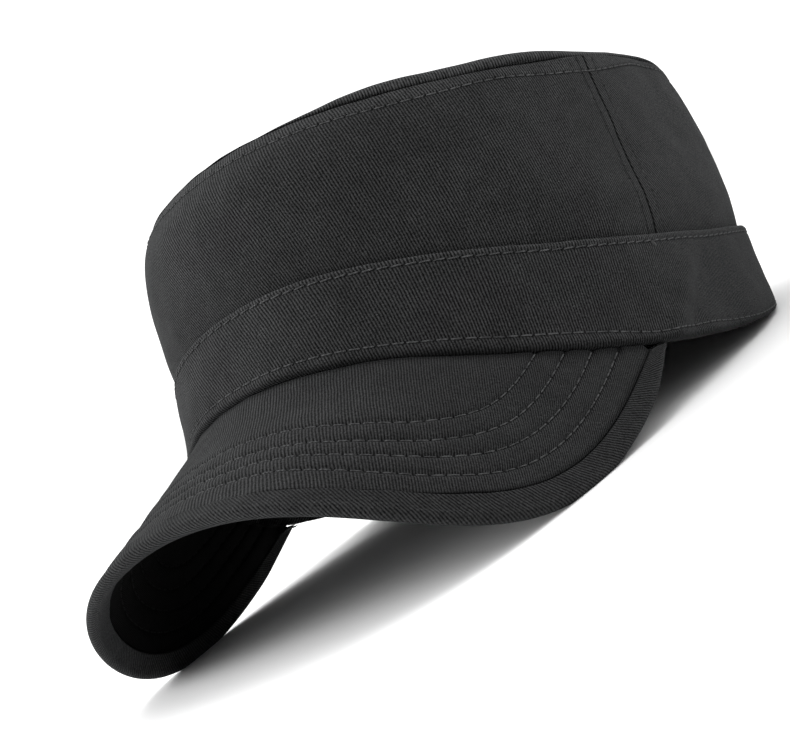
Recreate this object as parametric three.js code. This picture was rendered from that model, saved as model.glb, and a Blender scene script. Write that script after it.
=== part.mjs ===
// Patrol cap of black cotton twill, as separate cloth pieces that nest with a small clearance.
// Two crown panels meet at the side seams under a puffed oval top. A band is laid over their foot,
// a sweatband lines it, and a curved peak with a bound edge is tucked under the band's hem.
// Millimetres, +Z up, the wearer's front towards -Y and the wearer's left towards +X.
// The cap is drawn on its hem plane first, and then leans as it rests on a table by itself.
import * as THREE from 'three';

// Driving sizes of the hem, the band and the crown
const hemHalfWidth = 77.6;
const hemFront = 107.4;
const hemBack = 106.1;
const ovalPower = 2.15;
const hemSway = 10.6;
const bandHeight = 26.7;
const crownHeight = 75;
const sideSeamAngle = 82.3;
const frontBulge = 4.2;
const backBulge = 3.1;
const sideBulge = 0.3;
const bulgeLift = 1.1;

// Driving sizes of the puffed top, which puffs up at the sides and lies low at front and back
const topSidePuff = 4.6;
const topEndPuff = 0.8;
const topPuffPower = 1.2;
const topRoll = 5;
const topCrest = 7;

// Driving sizes of the peak, its reach measured down its own slope. The root stops shy of the
// binding's end by a few degrees of the hem.
const peakSlope = 33;
const peakReach = 49.1;
const peakDip = 3;
const peakSag = 71.4;
const peakSagRound = 0.435;
const peakFlare = 1.6;
const peakFlareReach = 25;
const peakEndAngle = 75.3;
const peakOutlinePower = 3.03;
const peakRootBlend = 16;
const peakTuck = 2;
const peakRootShy = 2;

// Driving sizes of the binding strip round the peak's edge
const bindingFrontWidth = 6.1;
const bindingSideWidth = 2.7;
const bindingEndLead = 10.1;
const bindingOutlinePower = 2.93;

// Cloth thicknesses and clearances
const crownWall = 1.6;
const bandWall = 1.8;
const sweatWall = 1.2;
const bindingWall = 0.8;
const peakWall = 3;
const peakBoard = 1.6;
const clearance = 0.3;
const hemClearance = 0.4;

// The share of the crown's height over which it leans in to pass behind the band
const tuckShare = 0.25;

// How far the sweatband stands up, the crown's foot and sweatband stop above the hem,
// and the cloth flattens where it meets the table
const sweatHeight = 30;
const footLift = 1.5;
const settle = 0.5;

// How many steps are taken round the cap, along the peak's edge and round its rim
const stepsRound = 72;
const stepsEdge = 56;
const stepsRim = 4;

// Rings of the wall. Width, front and back are shares of the hem's. The waves that lift and drop
// a ring once, twice and three times round are shares of the hem's sway.
const ringColumns = ['rise', 'width', 'front', 'back', 'once', 'twice', 'thrice'];
const ringTable = {
  hem: [0, 1, 1, 1, -0.27, 1, 0.16],
  bandTop: [bandHeight, 0.996, 0.955, 0.999, -0.21, 0.69, 0.09],
  topSeam: [crownHeight, 0.948, 0.864, 0.922, -0.21, -0.07, 0.21],
};
const rings = Object.fromEntries(Object.entries(ringTable).map(([name, row]) => (
  [name, Object.fromEntries(ringColumns.map((column, place) => [column, row[place]]))]
)));

// Soft dents of the wall on both sides. Angle and spread are in degrees from the front, height and
// reach are shares of the crown's height, and depth is a share of the hem's half width.
const dents = [
  { name: 'crease behind the peak', angle: 100, spread: 6, height: 0.12, reach: 0.2, depth: 0.02 },
  { name: 'swell beside the crease', angle: 89, spread: 6, height: 0.14, reach: 0.2, depth: -0.01 },
  { name: 'hollow behind the seam', angle: 104, spread: 12, height: 0.55, reach: 0.22, depth: 0.012 },
];

const radians = THREE.MathUtils.degToRad;
const mix = THREE.MathUtils.lerp;
const limit = THREE.MathUtils.clamp;
const signedPower = (value, power) => Math.sign(value) * Math.abs(value) ** power;
const point = (x, y, z) => new THREE.Vector3(x, y, z);

// Whole steps from one value to another, with both ends
function spread(from, to, steps) {
  return Array.from({ length: steps + 1 }, (_, step) => mix(from, to, step / steps));
}

// A point of one ring, at an angle in degrees from the front towards the wearer's left
function ringPoint(ring, angle) {
  const turn = radians(angle);
  const ahead = signedPower(Math.cos(turn), 2 / ovalPower);
  const reach = ahead > 0 ? hemFront * ring.front : hemBack * ring.back;
  const waves = [ring.once, ring.twice, ring.thrice];
  const wave = waves.reduce((sum, share, index) => sum + share * Math.cos((index + 1) * turn), 0);
  return point(
    hemHalfWidth * ring.width * signedPower(Math.sin(turn), 2 / ovalPower),
    -reach * ahead,
    ring.rise + hemSway * wave,
  );
}

// The level direction straight out of the wall at an angle
function outward(angle) {
  const turn = radians(angle);
  const power = 2 - 2 / ovalPower;
  const reach = Math.cos(turn) > 0 ? hemFront : hemBack;
  const across = signedPower(Math.sin(turn), power) / hemHalfWidth;
  const along = -signedPower(Math.cos(turn), power) / reach;
  return point(across, along, 0).normalize();
}

// How deep the dents press the wall in at an angle and a share of the crown's height
function dentDepth(angle, height) {
  const side = Math.abs(angle > 180 ? angle - 360 : angle);
  return dents.reduce((sum, dent) => {
    const round = (side - dent.angle) / dent.spread;
    const up = (height - dent.height) / dent.reach;
    return sum + hemHalfWidth * dent.depth * Math.exp(-round * round - up * up);
  }, 0);
}

// The wall's outer face in two stretches: the band from hem to band top, and the crown above it
function bandFace(angle, share, inset) {
  const face = ringPoint(rings.hem, angle).lerp(ringPoint(rings.bandTop, angle), share);
  const dent = dentDepth(angle, share * bandHeight / crownHeight);
  return face.addScaledVector(outward(angle), -inset - dent);
}

function crownFace(angle, share, inset) {
  const turn = radians(angle);
  const face = ringPoint(rings.bandTop, angle).lerp(ringPoint(rings.topSeam, angle), share);
  const endBulge = Math.cos(turn) > 0 ? frontBulge : backBulge;
  const bulge = endBulge * Math.cos(turn) ** 2 + sideBulge * Math.sin(turn) ** 2;
  const swell = 4 * share * (1 - share) * (1 + bulgeLift * (2 * share - 1));
  const stand = (bandWall + clearance) * limit(1 - share / tuckShare, 0, 1) ** 2;
  const dent = dentDepth(angle, mix(bandHeight / crownHeight, 1, share));
  return face.addScaledVector(outward(angle), bulge * swell - stand - inset - dent);
}

// A closed solid from rows of points. Each row joins the next and the last joins the first.
// Rows that close on themselves run round the cap. Open rows get a cap at each end, where a row of
// the outer face is paired with the row of the inner face that lies behind it. Both faces split
// their four-sided patches along the same diagonal, so that a dented wall keeps its thickness.
function solidOfRows(rows, closedRound) {
  const perRow = rows[0].length;
  const corner = (row, step) => (row % rows.length) * perRow + (step % perRow);
  const faces = [];
  const quad = (a, b, c, d) => faces.push(a, b, c, a, c, d);
  rows.forEach((_, row) => {
    for (let step = 0; step < (closedRound ? perRow : perRow - 1); step += 1) {
      const here = corner(row, step);
      const beside = corner(row, step + 1);
      const beyond = corner(row + 1, step + 1);
      const next = corner(row + 1, step);
      if (row < rows.length / 2) quad(here, beside, beyond, next);
      else quad(beside, beyond, next, here);
    }
  });
  for (let row = 0; !closedRound && row < rows.length / 2 - 1; row += 1) {
    const behind = rows.length - 1 - row;
    const end = perRow - 1;
    quad(corner(row, 0), corner(row + 1, 0), corner(behind - 1, 0), corner(behind, 0));
    quad(corner(row, end), corner(behind, end), corner(behind - 1, end), corner(row + 1, end));
  }
  return shell(rows.flat(), faces);
}

// A closed solid of rings that shrink to a pole at both ends
function solidOfPoles(rows, firstPole, lastPole) {
  const perRow = rows[0].length;
  const faces = [];
  const poles = rows.length * perRow;
  for (let step = 0; step < perRow; step += 1) {
    const next = (step + 1) % perRow;
    faces.push(poles, next, step);
    for (let row = 0; row < rows.length - 1; row += 1) {
      const here = row * perRow;
      const there = here + perRow;
      faces.push(here + step, here + next, there + next, here + step, there + next, there + step);
    }
    const end = (rows.length - 1) * perRow;
    faces.push(end + step, end + next, poles + 1);
  }
  return shell([...rows.flat(), firstPole, lastPole], faces);
}

function shell(points, faces) {
  const geometry = new THREE.BufferGeometry().setFromPoints(points);
  geometry.setIndex(faces);
  return geometry;
}

// The band: a ring of folded cloth whose two long edges are eased
const bandRounds = [
  { share: 0, ease: 0.25 },
  { share: 0.06, ease: 0 },
  { share: 0.36, ease: 0 },
  { share: 0.66, ease: 0 },
  { share: 0.95, ease: 0 },
  { share: 1, ease: 0.3 },
];
const aroundCap = spread(0, 360, stepsRound).slice(0, -1);

function bandSolid() {
  const ring = (share, inset) => aroundCap.map((angle) => bandFace(angle, share, inset));
  const outer = bandRounds.map(({ share, ease }) => ring(share, ease * bandWall));
  const inner = bandRounds.map(({ share }) => ring(share, bandWall));
  return solidOfRows([...outer, ...inner.reverse()], true);
}

// A crown panel from one side seam to the other, with its foot hidden behind the band. Angles that
// would crowd its two ends are left out.
const crownShares = [0, 0.12, 0.26, 0.45, 0.64, 0.82, 1];
const footShares = [footLift / bandHeight, 0.5];
const endRoom = 1;

function crownSolid(fromAngle, toAngle) {
  const between = (angle) => angle > fromAngle + endRoom && angle < toAngle - endRoom;
  const angles = [fromAngle, ...spread(-360, 360, stepsRound * 2).filter(between), toAngle];
  const behindBand = bandWall + clearance;
  const layer = (depth) => [
    ...footShares.map((share) => angles.map((angle) => bandFace(angle, share, behindBand + depth))),
    ...crownShares.map((share) => angles.map((angle) => crownFace(angle, share, depth))),
  ];
  return solidOfRows([...layer(0), ...layer(crownWall).reverse()], false);
}

// The sweatband: a thin ring inside the crown's foot
function sweatbandSolid() {
  const depth = bandWall + crownWall + 2 * clearance;
  const bandShares = [footLift / bandHeight, 0.5, 1];
  const crownShare = Math.max(sweatHeight - bandHeight, clearance) / (crownHeight - bandHeight);
  const layer = (more) => [
    ...bandShares.map((share) => aroundCap.map((angle) => bandFace(angle, share, depth + more))),
    aroundCap.map((angle) => crownFace(angle, crownShare, crownWall + clearance + more)),
  ];
  return solidOfRows([...layer(0), ...layer(sweatWall).reverse()], true);
}

// The top: an oval whose edge rolls up from the seam and runs level into a low dome
const rollAngles = [0, 25, 50, 75];
const domeShares = [0.88, 0.6, 0.3];

function topPuff(angle) {
  return mix(topEndPuff, topSidePuff, Math.abs(Math.sin(radians(angle))) ** topPuffPower);
}

function topSolid() {
  const seat = rings.topSeam.rise + clearance;
  const ring = (inset, lift, shrink) => aroundCap.map((angle) => {
    const seam = crownFace(angle, 1, inset);
    const wave = seam.z - rings.topSeam.rise;
    return point(seam.x * shrink, seam.y * shrink, seat + wave * shrink + lift(angle));
  });
  const layer = (depth) => {
    const rolled = rollAngles.map((roll) => {
      const turn = radians(roll);
      const lift = (angle) => (topPuff(angle) - depth) * Math.sin(turn);
      return ring(depth + topRoll * (1 - Math.cos(turn)), lift, 1);
    });
    const domed = domeShares.map((share) => {
      const lift = (angle) => mix(topCrest, topPuff(angle), share ** 2) - depth;
      return ring(depth + topRoll, lift, share);
    });
    return [...rolled, ...domed];
  };
  const pole = (depth) => point(0, 0, seat + topCrest - depth);
  return solidOfPoles([...layer(crownWall).reverse(), ...layer(0)], pole(crownWall), pole(0));
}

// The peak's top face over a plan of side reach x and reach s down the slope
const slope = radians(peakSlope);
const frontReach = hemFront / Math.cos(slope);
const peakEnd = ringPoint(rings.hem, peakEndAngle);
const edgeStart = -peakEnd.y / Math.cos(slope);
const peakHalfWidth = peakEnd.x + peakFlare;
const rootHeight = ringPoint(rings.hem, 0).z - peakDip;

function archHeight(x, s) {
  const share = x / peakHalfWidth;
  const sag = peakSag * (peakSagRound * share ** 2 + (1 - peakSagRound) * share ** 4);
  return rootHeight - sag - (s - frontReach) * Math.sin(slope);
}

// Near the hem the face is lifted or dropped to lie just under the band
function rootLift(x, s) {
  const across = limit(Math.abs(x) / hemHalfWidth, 0, 1);
  const angle = Math.min(THREE.MathUtils.radToDeg(Math.asin(across ** (ovalPower / 2))), peakEndAngle);
  const hem = ringPoint(rings.hem, angle);
  const hemReach = -hem.y / Math.cos(slope);
  const fade = limit(1 - (s - hemReach) / peakRootBlend, 0, 1);
  return (hem.z - hemClearance - archHeight(hem.x, hemReach)) * fade ** 2;
}

function peakFace(plan) {
  return point(plan.x, -plan.y * Math.cos(slope), archHeight(plan.x, plan.y) + rootLift(plan.x, plan.y));
}

function peakNormal(plan) {
  const nudge = 0.05;
  const across = peakFace(plan.clone().setX(plan.x + nudge)).sub(peakFace(plan.clone().setX(plan.x - nudge)));
  const down = peakFace(plan.clone().setY(plan.y + nudge)).sub(peakFace(plan.clone().setY(plan.y - nudge)));
  return down.cross(across).normalize();
}

// Outlines of the peak in its plan, both with their ends near the hem: the outer edge, and the
// seam where the binding starts
const edgeOutline = {
  halfWidth: peakHalfWidth,
  start: edgeStart,
  depth: frontReach + peakReach - edgeStart,
  power: peakOutlinePower,
  flare: peakFlare,
};
const seamOutline = {
  halfWidth: peakHalfWidth - bindingSideWidth,
  start: edgeStart + bindingEndLead,
  depth: frontReach + peakReach - bindingFrontWidth - edgeStart - bindingEndLead,
  power: bindingOutlinePower,
  flare: 0,
};

// The ends of an outline are drawn in towards the hem over a short stretch
function outlinePoint(outline, turn) {
  const depth = outline.depth * Math.abs(Math.cos(turn)) ** (2 / outline.power);
  const drawnIn = outline.flare * limit(1 - depth / peakFlareReach, 0, 1) ** 2;
  const side = outline.halfWidth * signedPower(Math.sin(turn), 2 / outline.power);
  return new THREE.Vector2(side - Math.sign(side) * drawnIn, outline.start + depth);
}

// Turns along the outer edge that are an even distance apart, found on a finer division
const finer = 40;

function evenTurns(steps) {
  const fine = spread(-Math.PI / 2, Math.PI / 2, steps * finer);
  const edge = fine.map((turn) => peakFace(outlinePoint(edgeOutline, turn)));
  const runs = [0];
  edge.slice(1).forEach((place, step) => runs.push(runs[step] + place.distanceTo(edge[step])));
  return spread(0, runs.at(-1), steps).map((run) => {
    const found = runs.findIndex((length) => length >= run);
    const after = found < 0 ? runs.length - 1 : Math.max(found, 1);
    const part = (run - runs[after - 1]) / (runs[after] - runs[after - 1]);
    return mix(fine[after - 1], fine[after], part);
  });
}

// Stations along the peak, each with its place on the hem, on the binding's seam and on the edge
const seamEnd = outlinePoint(seamOutline, Math.PI / 2);
const seamEndAngle = THREE.MathUtils.radToDeg(Math.asin((seamEnd.x / hemHalfWidth) ** (ovalPower / 2)));
const rootEndAngle = Math.min(seamEndAngle, peakEndAngle) - peakRootShy;
const turns = evenTurns(stepsEdge);
const stations = turns.map((turn, step) => {
  const rootAngle = mix(-rootEndAngle, rootEndAngle, step / stepsEdge);
  const hem = ringPoint(rings.hem, rootAngle);
  const edge = outlinePoint(edgeOutline, turn);
  const seam = outlinePoint(seamOutline, turn);
  const root = new THREE.Vector2(hem.x, -hem.y / Math.cos(slope));
  return { rootAngle, hem, root, seam, edge, width: peakFace(seam).distanceTo(peakFace(edge)) };
});

// The middle of the rim's half round and its two directions, out of the edge and out of the face.
// The outward direction is taken over the last stretch of the line from seam to edge.
const rimRadius = (peakBoard / 2) + clearance + bindingWall;
const rimStretch = 0.3;

function rimFrame({ seam, edge }) {
  const tip = peakFace(edge);
  const face = peakNormal(edge);
  const out = tip.clone().sub(peakFace(edge.clone().lerp(seam, rimStretch)));
  out.addScaledVector(face, -out.dot(face)).normalize();
  const middle = tip.addScaledVector(face, -peakWall / 2).addScaledVector(out, -rimRadius);
  return { face, out, middle };
}

const rims = stations.map(rimFrame);

function rimPoint(step, radius, turn) {
  const { face, out, middle } = rims[step];
  const upright = middle.clone().addScaledVector(face, radius * Math.cos(turn));
  return upright.addScaledVector(out, radius * Math.sin(turn));
}

// A point of the plan sunk below the top face, towards the underside
function sunk(plan, depth) {
  return peakFace(plan).addScaledVector(peakNormal(plan), -depth);
}

// The peak: board and covers as one plate, tucked under the hem, thinner inside its binding
const plateShares = [0, 0.12, 0.3, 0.5, 0.75, 1];

function peakSolid() {
  const tongue = (peakWall - peakBoard) / 2;
  const tucked = (depth) => stations.map(({ hem, rootAngle, root }) => {
    const place = hem.clone().addScaledVector(outward(rootAngle), -peakTuck);
    return place.setZ(hem.z - hemClearance).addScaledVector(peakNormal(root), -depth);
  });
  const sheet = (depth) => plateShares.map((share) => stations.map((station) => (
    sunk(station.root.clone().lerp(station.seam, share), depth)
  )));
  const tongueRow = (depth) => stations.map((station) => (
    sunk(station.seam.clone().lerp(station.edge, clearance / 2 / station.width), depth)
  ));
  const tip = (turn) => stations.map((_, step) => rimPoint(step, peakBoard / 2, turn));
  const top = [tucked(0), ...sheet(0), tongueRow(tongue), tip(0), tip(Math.PI / 3)];
  const under = [
    tucked(peakWall),
    ...sheet(peakWall),
    tongueRow(peakWall - tongue),
    tip(Math.PI),
    tip(2 * Math.PI / 3),
  ];
  return solidOfRows([...under, ...top.reverse()], false);
}

// The binding: a strip folded round the peak's edge, from the seam on top to the seam below
const flapMiddle = 0.4;

function bindingSolid() {
  const layer = (inset) => {
    const proud = rimRadius - inset - peakWall / 2;
    const flap = (share, depth) => stations.map((station) => {
      const gap = clearance / station.width;
      return sunk(station.seam.clone().lerp(station.edge, mix(gap, 1, share)), depth);
    });
    const roundRow = (turn) => stations.map((_, step) => rimPoint(step, rimRadius - inset, turn));
    const above = [flap(0, -proud), flap(flapMiddle, -proud)];
    const below = [flap(flapMiddle, peakWall + proud), flap(0, peakWall + proud)];
    return [...above, ...spread(0, Math.PI, stepsRim).map(roundRow), ...below];
  };
  return solidOfRows([...layer(bindingWall), ...layer(0).reverse()], false);
}

// Cloth finishes
const twill = { color: 0x2c2c2d, roughness: 0.92, metalness: 0 };
const finishes = {
  crownTwill: new THREE.MeshStandardMaterial(twill),
  bandTwill: new THREE.MeshStandardMaterial({ ...twill, color: 0x2a2a2b }),
  peakTwill: new THREE.MeshStandardMaterial({ ...twill, color: 0x292929 }),
  bindingTwill: new THREE.MeshStandardMaterial({ ...twill, color: 0x262627 }),
  sweatCotton: new THREE.MeshStandardMaterial({ color: 0x333335, roughness: 0.95, metalness: 0 }),
};

// The pieces
const seamGap = THREE.MathUtils.radToDeg(clearance / 2 / hemHalfWidth);
const pieces = {
  crown_front: [crownSolid(seamGap - sideSeamAngle, sideSeamAngle - seamGap), finishes.crownTwill],
  crown_back: [crownSolid(sideSeamAngle + seamGap, 360 - sideSeamAngle - seamGap), finishes.crownTwill],
  top_panel: [topSolid(), finishes.crownTwill],
  band: [bandSolid(), finishes.bandTwill],
  sweatband: [sweatbandSolid(), finishes.sweatCotton],
  peak: [peakSolid(), finishes.peakTwill],
  peak_binding: [bindingSolid(), finishes.bindingTwill],
};

// The lowest level that a piece reaches when the cap leans back by a tilt in radians
function lowest(geometry, tilt) {
  const places = geometry.getAttribute('position');
  let low = Infinity;
  for (let index = 0; index < places.count; index += 1) {
    low = Math.min(low, places.getZ(index) * Math.cos(tilt) - places.getY(index) * Math.sin(tilt));
  }
  return low;
}

// The resting tilt, at which the peak's lobes and the back of the hem touch the table together
const halvings = 40;

function restingTilt() {
  let least = 0;
  let most = Math.PI / 4;
  for (let step = 0; step < halvings; step += 1) {
    const tilt = (least + most) / 2;
    const noseDown = lowest(pieces.peak_binding[0], tilt) < lowest(pieces.band[0], tilt);
    least = noseDown ? tilt : least;
    most = noseDown ? most : tilt;
  }
  return (least + most) / 2;
}

// Lean each piece, set it on the table and flatten what would sink below it
const tilt = restingTilt();
const table = lowest(pieces.band[0], tilt) + settle;
const cap = new THREE.Group();
Object.entries(pieces).forEach(([name, [geometry, finish]]) => {
  geometry.rotateX(-tilt).translate(0, 0, -table);
  const places = geometry.getAttribute('position');
  for (let index = 0; index < places.count; index += 1) {
    places.setZ(index, Math.max(places.getZ(index), 0));
  }
  geometry.computeVertexNormals();
  const mesh = new THREE.Mesh(geometry, finish);
  mesh.name = name;
  cap.add(mesh);
});

// The origin is under the middle of the resting cap
const extent = new THREE.Box3().setFromObject(cap);
const middle = extent.getCenter(point(0, 0, 0));
cap.position.set(-middle.x, -middle.y, 0);

export default cap;
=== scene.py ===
# %% [markdown]
# # A patrol cap in black cotton twill
# A patrol cap is sewn from flat pieces: two crown panels, an oval top, a folded band, a sweatband,
# and a peak of board covered in cloth with a strip bound round its edge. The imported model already
# holds each of them as a plain solid at its real size. Here every solid gets a cloth piece in its
# place, fine enough to carry folded edges, seams and puckers, and then the thread is laid on top.
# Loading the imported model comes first, because all that follows is placed by it.

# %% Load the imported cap
import math

import bpy
import numpy as np
from mathutils import Matrix, Vector


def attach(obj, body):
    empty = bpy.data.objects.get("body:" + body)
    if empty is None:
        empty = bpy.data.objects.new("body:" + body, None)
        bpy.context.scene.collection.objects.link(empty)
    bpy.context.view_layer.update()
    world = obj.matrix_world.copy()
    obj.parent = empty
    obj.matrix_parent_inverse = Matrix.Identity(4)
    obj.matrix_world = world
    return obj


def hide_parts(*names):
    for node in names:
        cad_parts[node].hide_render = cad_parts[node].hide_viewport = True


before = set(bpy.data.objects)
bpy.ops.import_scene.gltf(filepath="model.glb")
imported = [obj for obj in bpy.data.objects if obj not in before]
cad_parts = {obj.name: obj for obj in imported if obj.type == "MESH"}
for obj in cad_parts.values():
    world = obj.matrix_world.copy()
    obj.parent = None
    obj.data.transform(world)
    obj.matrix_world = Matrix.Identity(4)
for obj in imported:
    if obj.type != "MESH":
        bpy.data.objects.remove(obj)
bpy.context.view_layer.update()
print("Packed cap:", len(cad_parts), "nodes")

# %% [markdown]
# ## Sizes
# A cap maker works from a few sizes: the hem's width and length, the heights of band and crown, and
# how far the peak reaches. Every curve below is worked out from these, in millimetres on the level
# hem, with the wearer's front towards -Y. One list of sizes at the top is easier to follow than
# numbers spread through the script.

# %% Sizes of the cap
HEM_HALF_WIDTH = 77.6
HEM_FRONT = 107.4
HEM_BACK = 106.1
OVAL_POWER = 2.15
HEM_SWAY = 10.6
BAND_HEIGHT = 26.7
CROWN_HEIGHT = 75.0
CROWN_RISE = CROWN_HEIGHT - BAND_HEIGHT
SIDE_SEAM_ANGLE = 83.8
FRONT_BULGE, BACK_BULGE, SIDE_BULGE, BULGE_LIFT = 4.2, 3.1, 0.3, 1.1
TOP_SIDE_PUFF, TOP_END_PUFF = 4.4, 0.8
TOP_ROLL, TOP_CREST = 5.0, 7.0
CROWN_WALL, BAND_WALL, SWEAT_WALL, BINDING_WALL = 1.6, 1.8, 1.2, 0.8
PEAK_WALL, PEAK_BOARD = 3.0, 1.6
CLEARANCE, HEM_CLEARANCE = 0.3, 0.4
SWEAT_HEIGHT, FOOT_LIFT, TUCK_SHARE = 30.0, 1.5, 0.25
STITCH_PITCH = 3.6
print("Crown panels rise", round(CROWN_RISE, 1), "mm above the band")

# %% [markdown]
# ## From the hem plane to the table
# The cap is worked out level on its hem, but by itself it leans back until the peak's two lobes and
# the back of the hem touch the table. One small function turns, lowers and slides every point the
# same way, and presses flat the little cloth that would sink in, as the weight of the cap does.

# %% Set points on the table
LEAN = math.radians(16.2313)
TABLE_LEVEL = -17.8885
MIDDLE_AHEAD = -15.3926


def on_table(points):
    x, y, z = points[..., 0], points[..., 1], points[..., 2]
    ahead = y * math.cos(LEAN) + z * math.sin(LEAN) - MIDDLE_AHEAD
    height = z * math.cos(LEAN) - y * math.sin(LEAN) - TABLE_LEVEL
    return np.stack([x, ahead, np.maximum(height, 0)], -1) / 1000


print("The cap leans back", round(math.degrees(LEAN), 1), "degrees")

# %% [markdown]
# ## The camera
# The photograph looks at the cap's front left from just below the hem, with the cap tipped in the
# picture. The camera stands at the same place relative to the cap, and because the cap leans back on
# the table, that place is still above the floor. The direction is given as a turn round the cap, a
# rise and a roll, which is easier to check than a matrix.

# %% Camera at the photograph's angle
PHOTO_WIDTH = 790
SENSOR = 36.0
CAMERA_TURN, CAMERA_RISE, CAMERA_ROLL = 38.382, -10.966, 19.988
CAMERA_DISTANCE = 479.745
CAMERA_ASIDE, CAMERA_UP = -21.388, -23.272
AIM_HEIGHT = 35.0
PIXELS_PER_MM = 3.2476


def place_camera():
    turn, rise, roll = (math.radians(a) for a in (CAMERA_TURN, CAMERA_RISE, CAMERA_ROLL))
    back = np.array([math.sin(turn) * math.cos(rise), -math.cos(turn) * math.cos(rise), math.sin(rise)])
    level = np.array([math.cos(turn), math.sin(turn), 0])
    upright = np.cross(level, -back)
    right = math.cos(roll) * level - math.sin(roll) * upright
    up = math.sin(roll) * level + math.cos(roll) * upright
    stand = np.array([0, 0, AIM_HEIGHT]) + CAMERA_DISTANCE * back + CAMERA_ASIDE * right + CAMERA_UP * up
    axes = np.column_stack([right, up, back])
    places = on_table(np.stack([stand, *(stand + axes.T)]))
    lens = bpy.data.cameras.new("camera")
    lens.sensor_width = SENSOR
    lens.lens = PIXELS_PER_MM * CAMERA_DISTANCE * SENSOR / PHOTO_WIDTH
    lens.clip_start, lens.clip_end = 0.01, 100
    camera = bpy.data.objects.new("camera", lens)
    bpy.context.scene.collection.objects.link(camera)
    turned = Matrix((1000 * (places[1:] - places[0])).T.tolist())
    camera.matrix_world = Matrix.Translation(places[0].tolist()) @ turned.to_4x4()
    bpy.context.scene.camera = camera
    return camera


camera = place_camera()
print("Camera", [round(value, 3) for value in camera.location], "lens", round(camera.data.lens, 1), "mm")

# %% [markdown]
# ## Floor and light
# Black cloth shows its folds only by soft shading, so the light comes from large pale surfaces: a
# white surround, and wide sheets of light above, at the left and behind the right. A few small lamps
# would be simpler, but they would draw hard shadows and bright dots. Towards the right the surround
# is darker, as if a grey card stood there, which gives the round wall its darker side. The floor is
# plain and nearly as bright as the surround, so that no far edge shows behind the cap.

# %% Floor, surround and soft lights
FLOOR_HALF = 40.0
FLOOR_TONE = 0.93
SURROUND_STRENGTH = 1.35
SURROUND_SHADE = 0.50
SHADED_SIDE = (0.96, -0.26, 0.10)
SHADE_STARTS, SHADE_FULL = 0.1, 0.9
LIGHTS = [
    {"name": "overhead", "place": (-0.1, 0.1, 1.3), "size": 1.0, "watts": 8},
    {"name": "from the left", "place": (-1.1, -0.7, 0.7), "size": 0.8, "watts": 13},
    {"name": "from behind the right", "place": (0.5, 1.3, 0.6), "size": 0.6, "watts": 2.5},
]


def plain_material(name, tone, roughness):
    material = bpy.data.materials.new(name)
    material.use_nodes = True
    shader = material.node_tree.nodes["Principled BSDF"]
    shader.inputs["Base Color"].default_value = (tone, tone, tone, 1)
    shader.inputs["Roughness"].default_value = roughness
    return material


def make_floor():
    mesh = bpy.data.meshes.new("floor")
    half = FLOOR_HALF
    corners = [(-half, -half, 0), (half, -half, 0), (half, half, 0), (-half, half, 0)]
    mesh.from_pydata(corners, [], [(0, 1, 2, 3)])
    floor = bpy.data.objects.new("floor", mesh)
    bpy.context.scene.collection.objects.link(floor)
    mesh.materials.append(plain_material("floor paper", FLOOR_TONE, 0.95))


def make_surround():
    world = bpy.data.worlds.new("white surround")
    world.use_nodes = True
    background = world.node_tree.nodes["Background"]
    background.inputs["Color"].default_value = (1, 1, 1, 1)
    tree = world.node_tree
    facing = tree.nodes.new("ShaderNodeVectorMath")
    facing.operation = "DOT_PRODUCT"
    facing.inputs[1].default_value = SHADED_SIDE
    tree.links.new(tree.nodes.new("ShaderNodeTexCoord").outputs["Generated"], facing.inputs[0])
    level = tree.nodes.new("ShaderNodeMapRange")
    level.interpolation_type = "SMOOTHSTEP"
    level.inputs["From Min"].default_value = SHADE_STARTS
    level.inputs["From Max"].default_value = SHADE_FULL
    level.inputs["To Min"].default_value = SURROUND_STRENGTH
    level.inputs["To Max"].default_value = SURROUND_SHADE
    tree.links.new(facing.outputs["Value"], level.inputs["Value"])
    tree.links.new(level.outputs["Result"], background.inputs["Strength"])
    bpy.context.scene.world = world


def soft_light(name, place, size, watts):
    light = bpy.data.lights.new(name, "AREA")
    light.shape = "SQUARE"
    light.size = size
    light.energy = watts
    lamp = bpy.data.objects.new(name, light)
    bpy.context.scene.collection.objects.link(lamp)
    lamp.location = place
    lamp.rotation_euler = (-Vector(place)).to_track_quat("-Z", "Y").to_euler()


make_floor()
make_surround()
for light in LIGHTS:
    soft_light(**light)
bpy.context.scene.view_settings.view_transform = "Standard"
print("Lights:", [light["name"] for light in LIGHTS])

# %% [markdown]
# ## The curves of the wall
# Cut across, a cap is a rounded oval, a little squarer than an ellipse, and the hem doesn't lie level:
# it dips at the sides and climbs at front and back. Three such rings set the wall: the hem, the top of
# the band and the top seam. Each is one formula with a row of shares, so a point on the wall is just
# an angle and a height. Whole arrays of angles go in at once, which keeps the script quick.

# %% Rings of the wall
RINGS = {
    "hem": {"rise": 0.0, "width": 1.0, "front": 1.0, "back": 1.0, "waves": (-0.27, 1.0, 0.16)},
    "band top": {
        "rise": BAND_HEIGHT, "width": 0.996, "front": 0.955, "back": 0.999, "waves": (-0.21, 0.69, 0.09),
    },
    "top seam": {
        "rise": CROWN_HEIGHT, "width": 0.948, "front": 0.864, "back": 0.922, "waves": (-0.21, -0.07, 0.21),
    },
}


def signed_power(value, power):
    return np.sign(value) * np.abs(value) ** power


def ring_point(name, angle):
    ring = RINGS[name]
    turn = np.radians(angle)
    ahead = signed_power(np.cos(turn), 2 / OVAL_POWER)
    reach = np.where(ahead > 0, HEM_FRONT * ring["front"], HEM_BACK * ring["back"])
    wave = sum(share * np.cos((step + 1) * turn) for step, share in enumerate(ring["waves"]))
    across = HEM_HALF_WIDTH * ring["width"] * signed_power(np.sin(turn), 2 / OVAL_POWER)
    return np.stack([across, -reach * ahead, ring["rise"] + HEM_SWAY * wave], -1)


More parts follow.
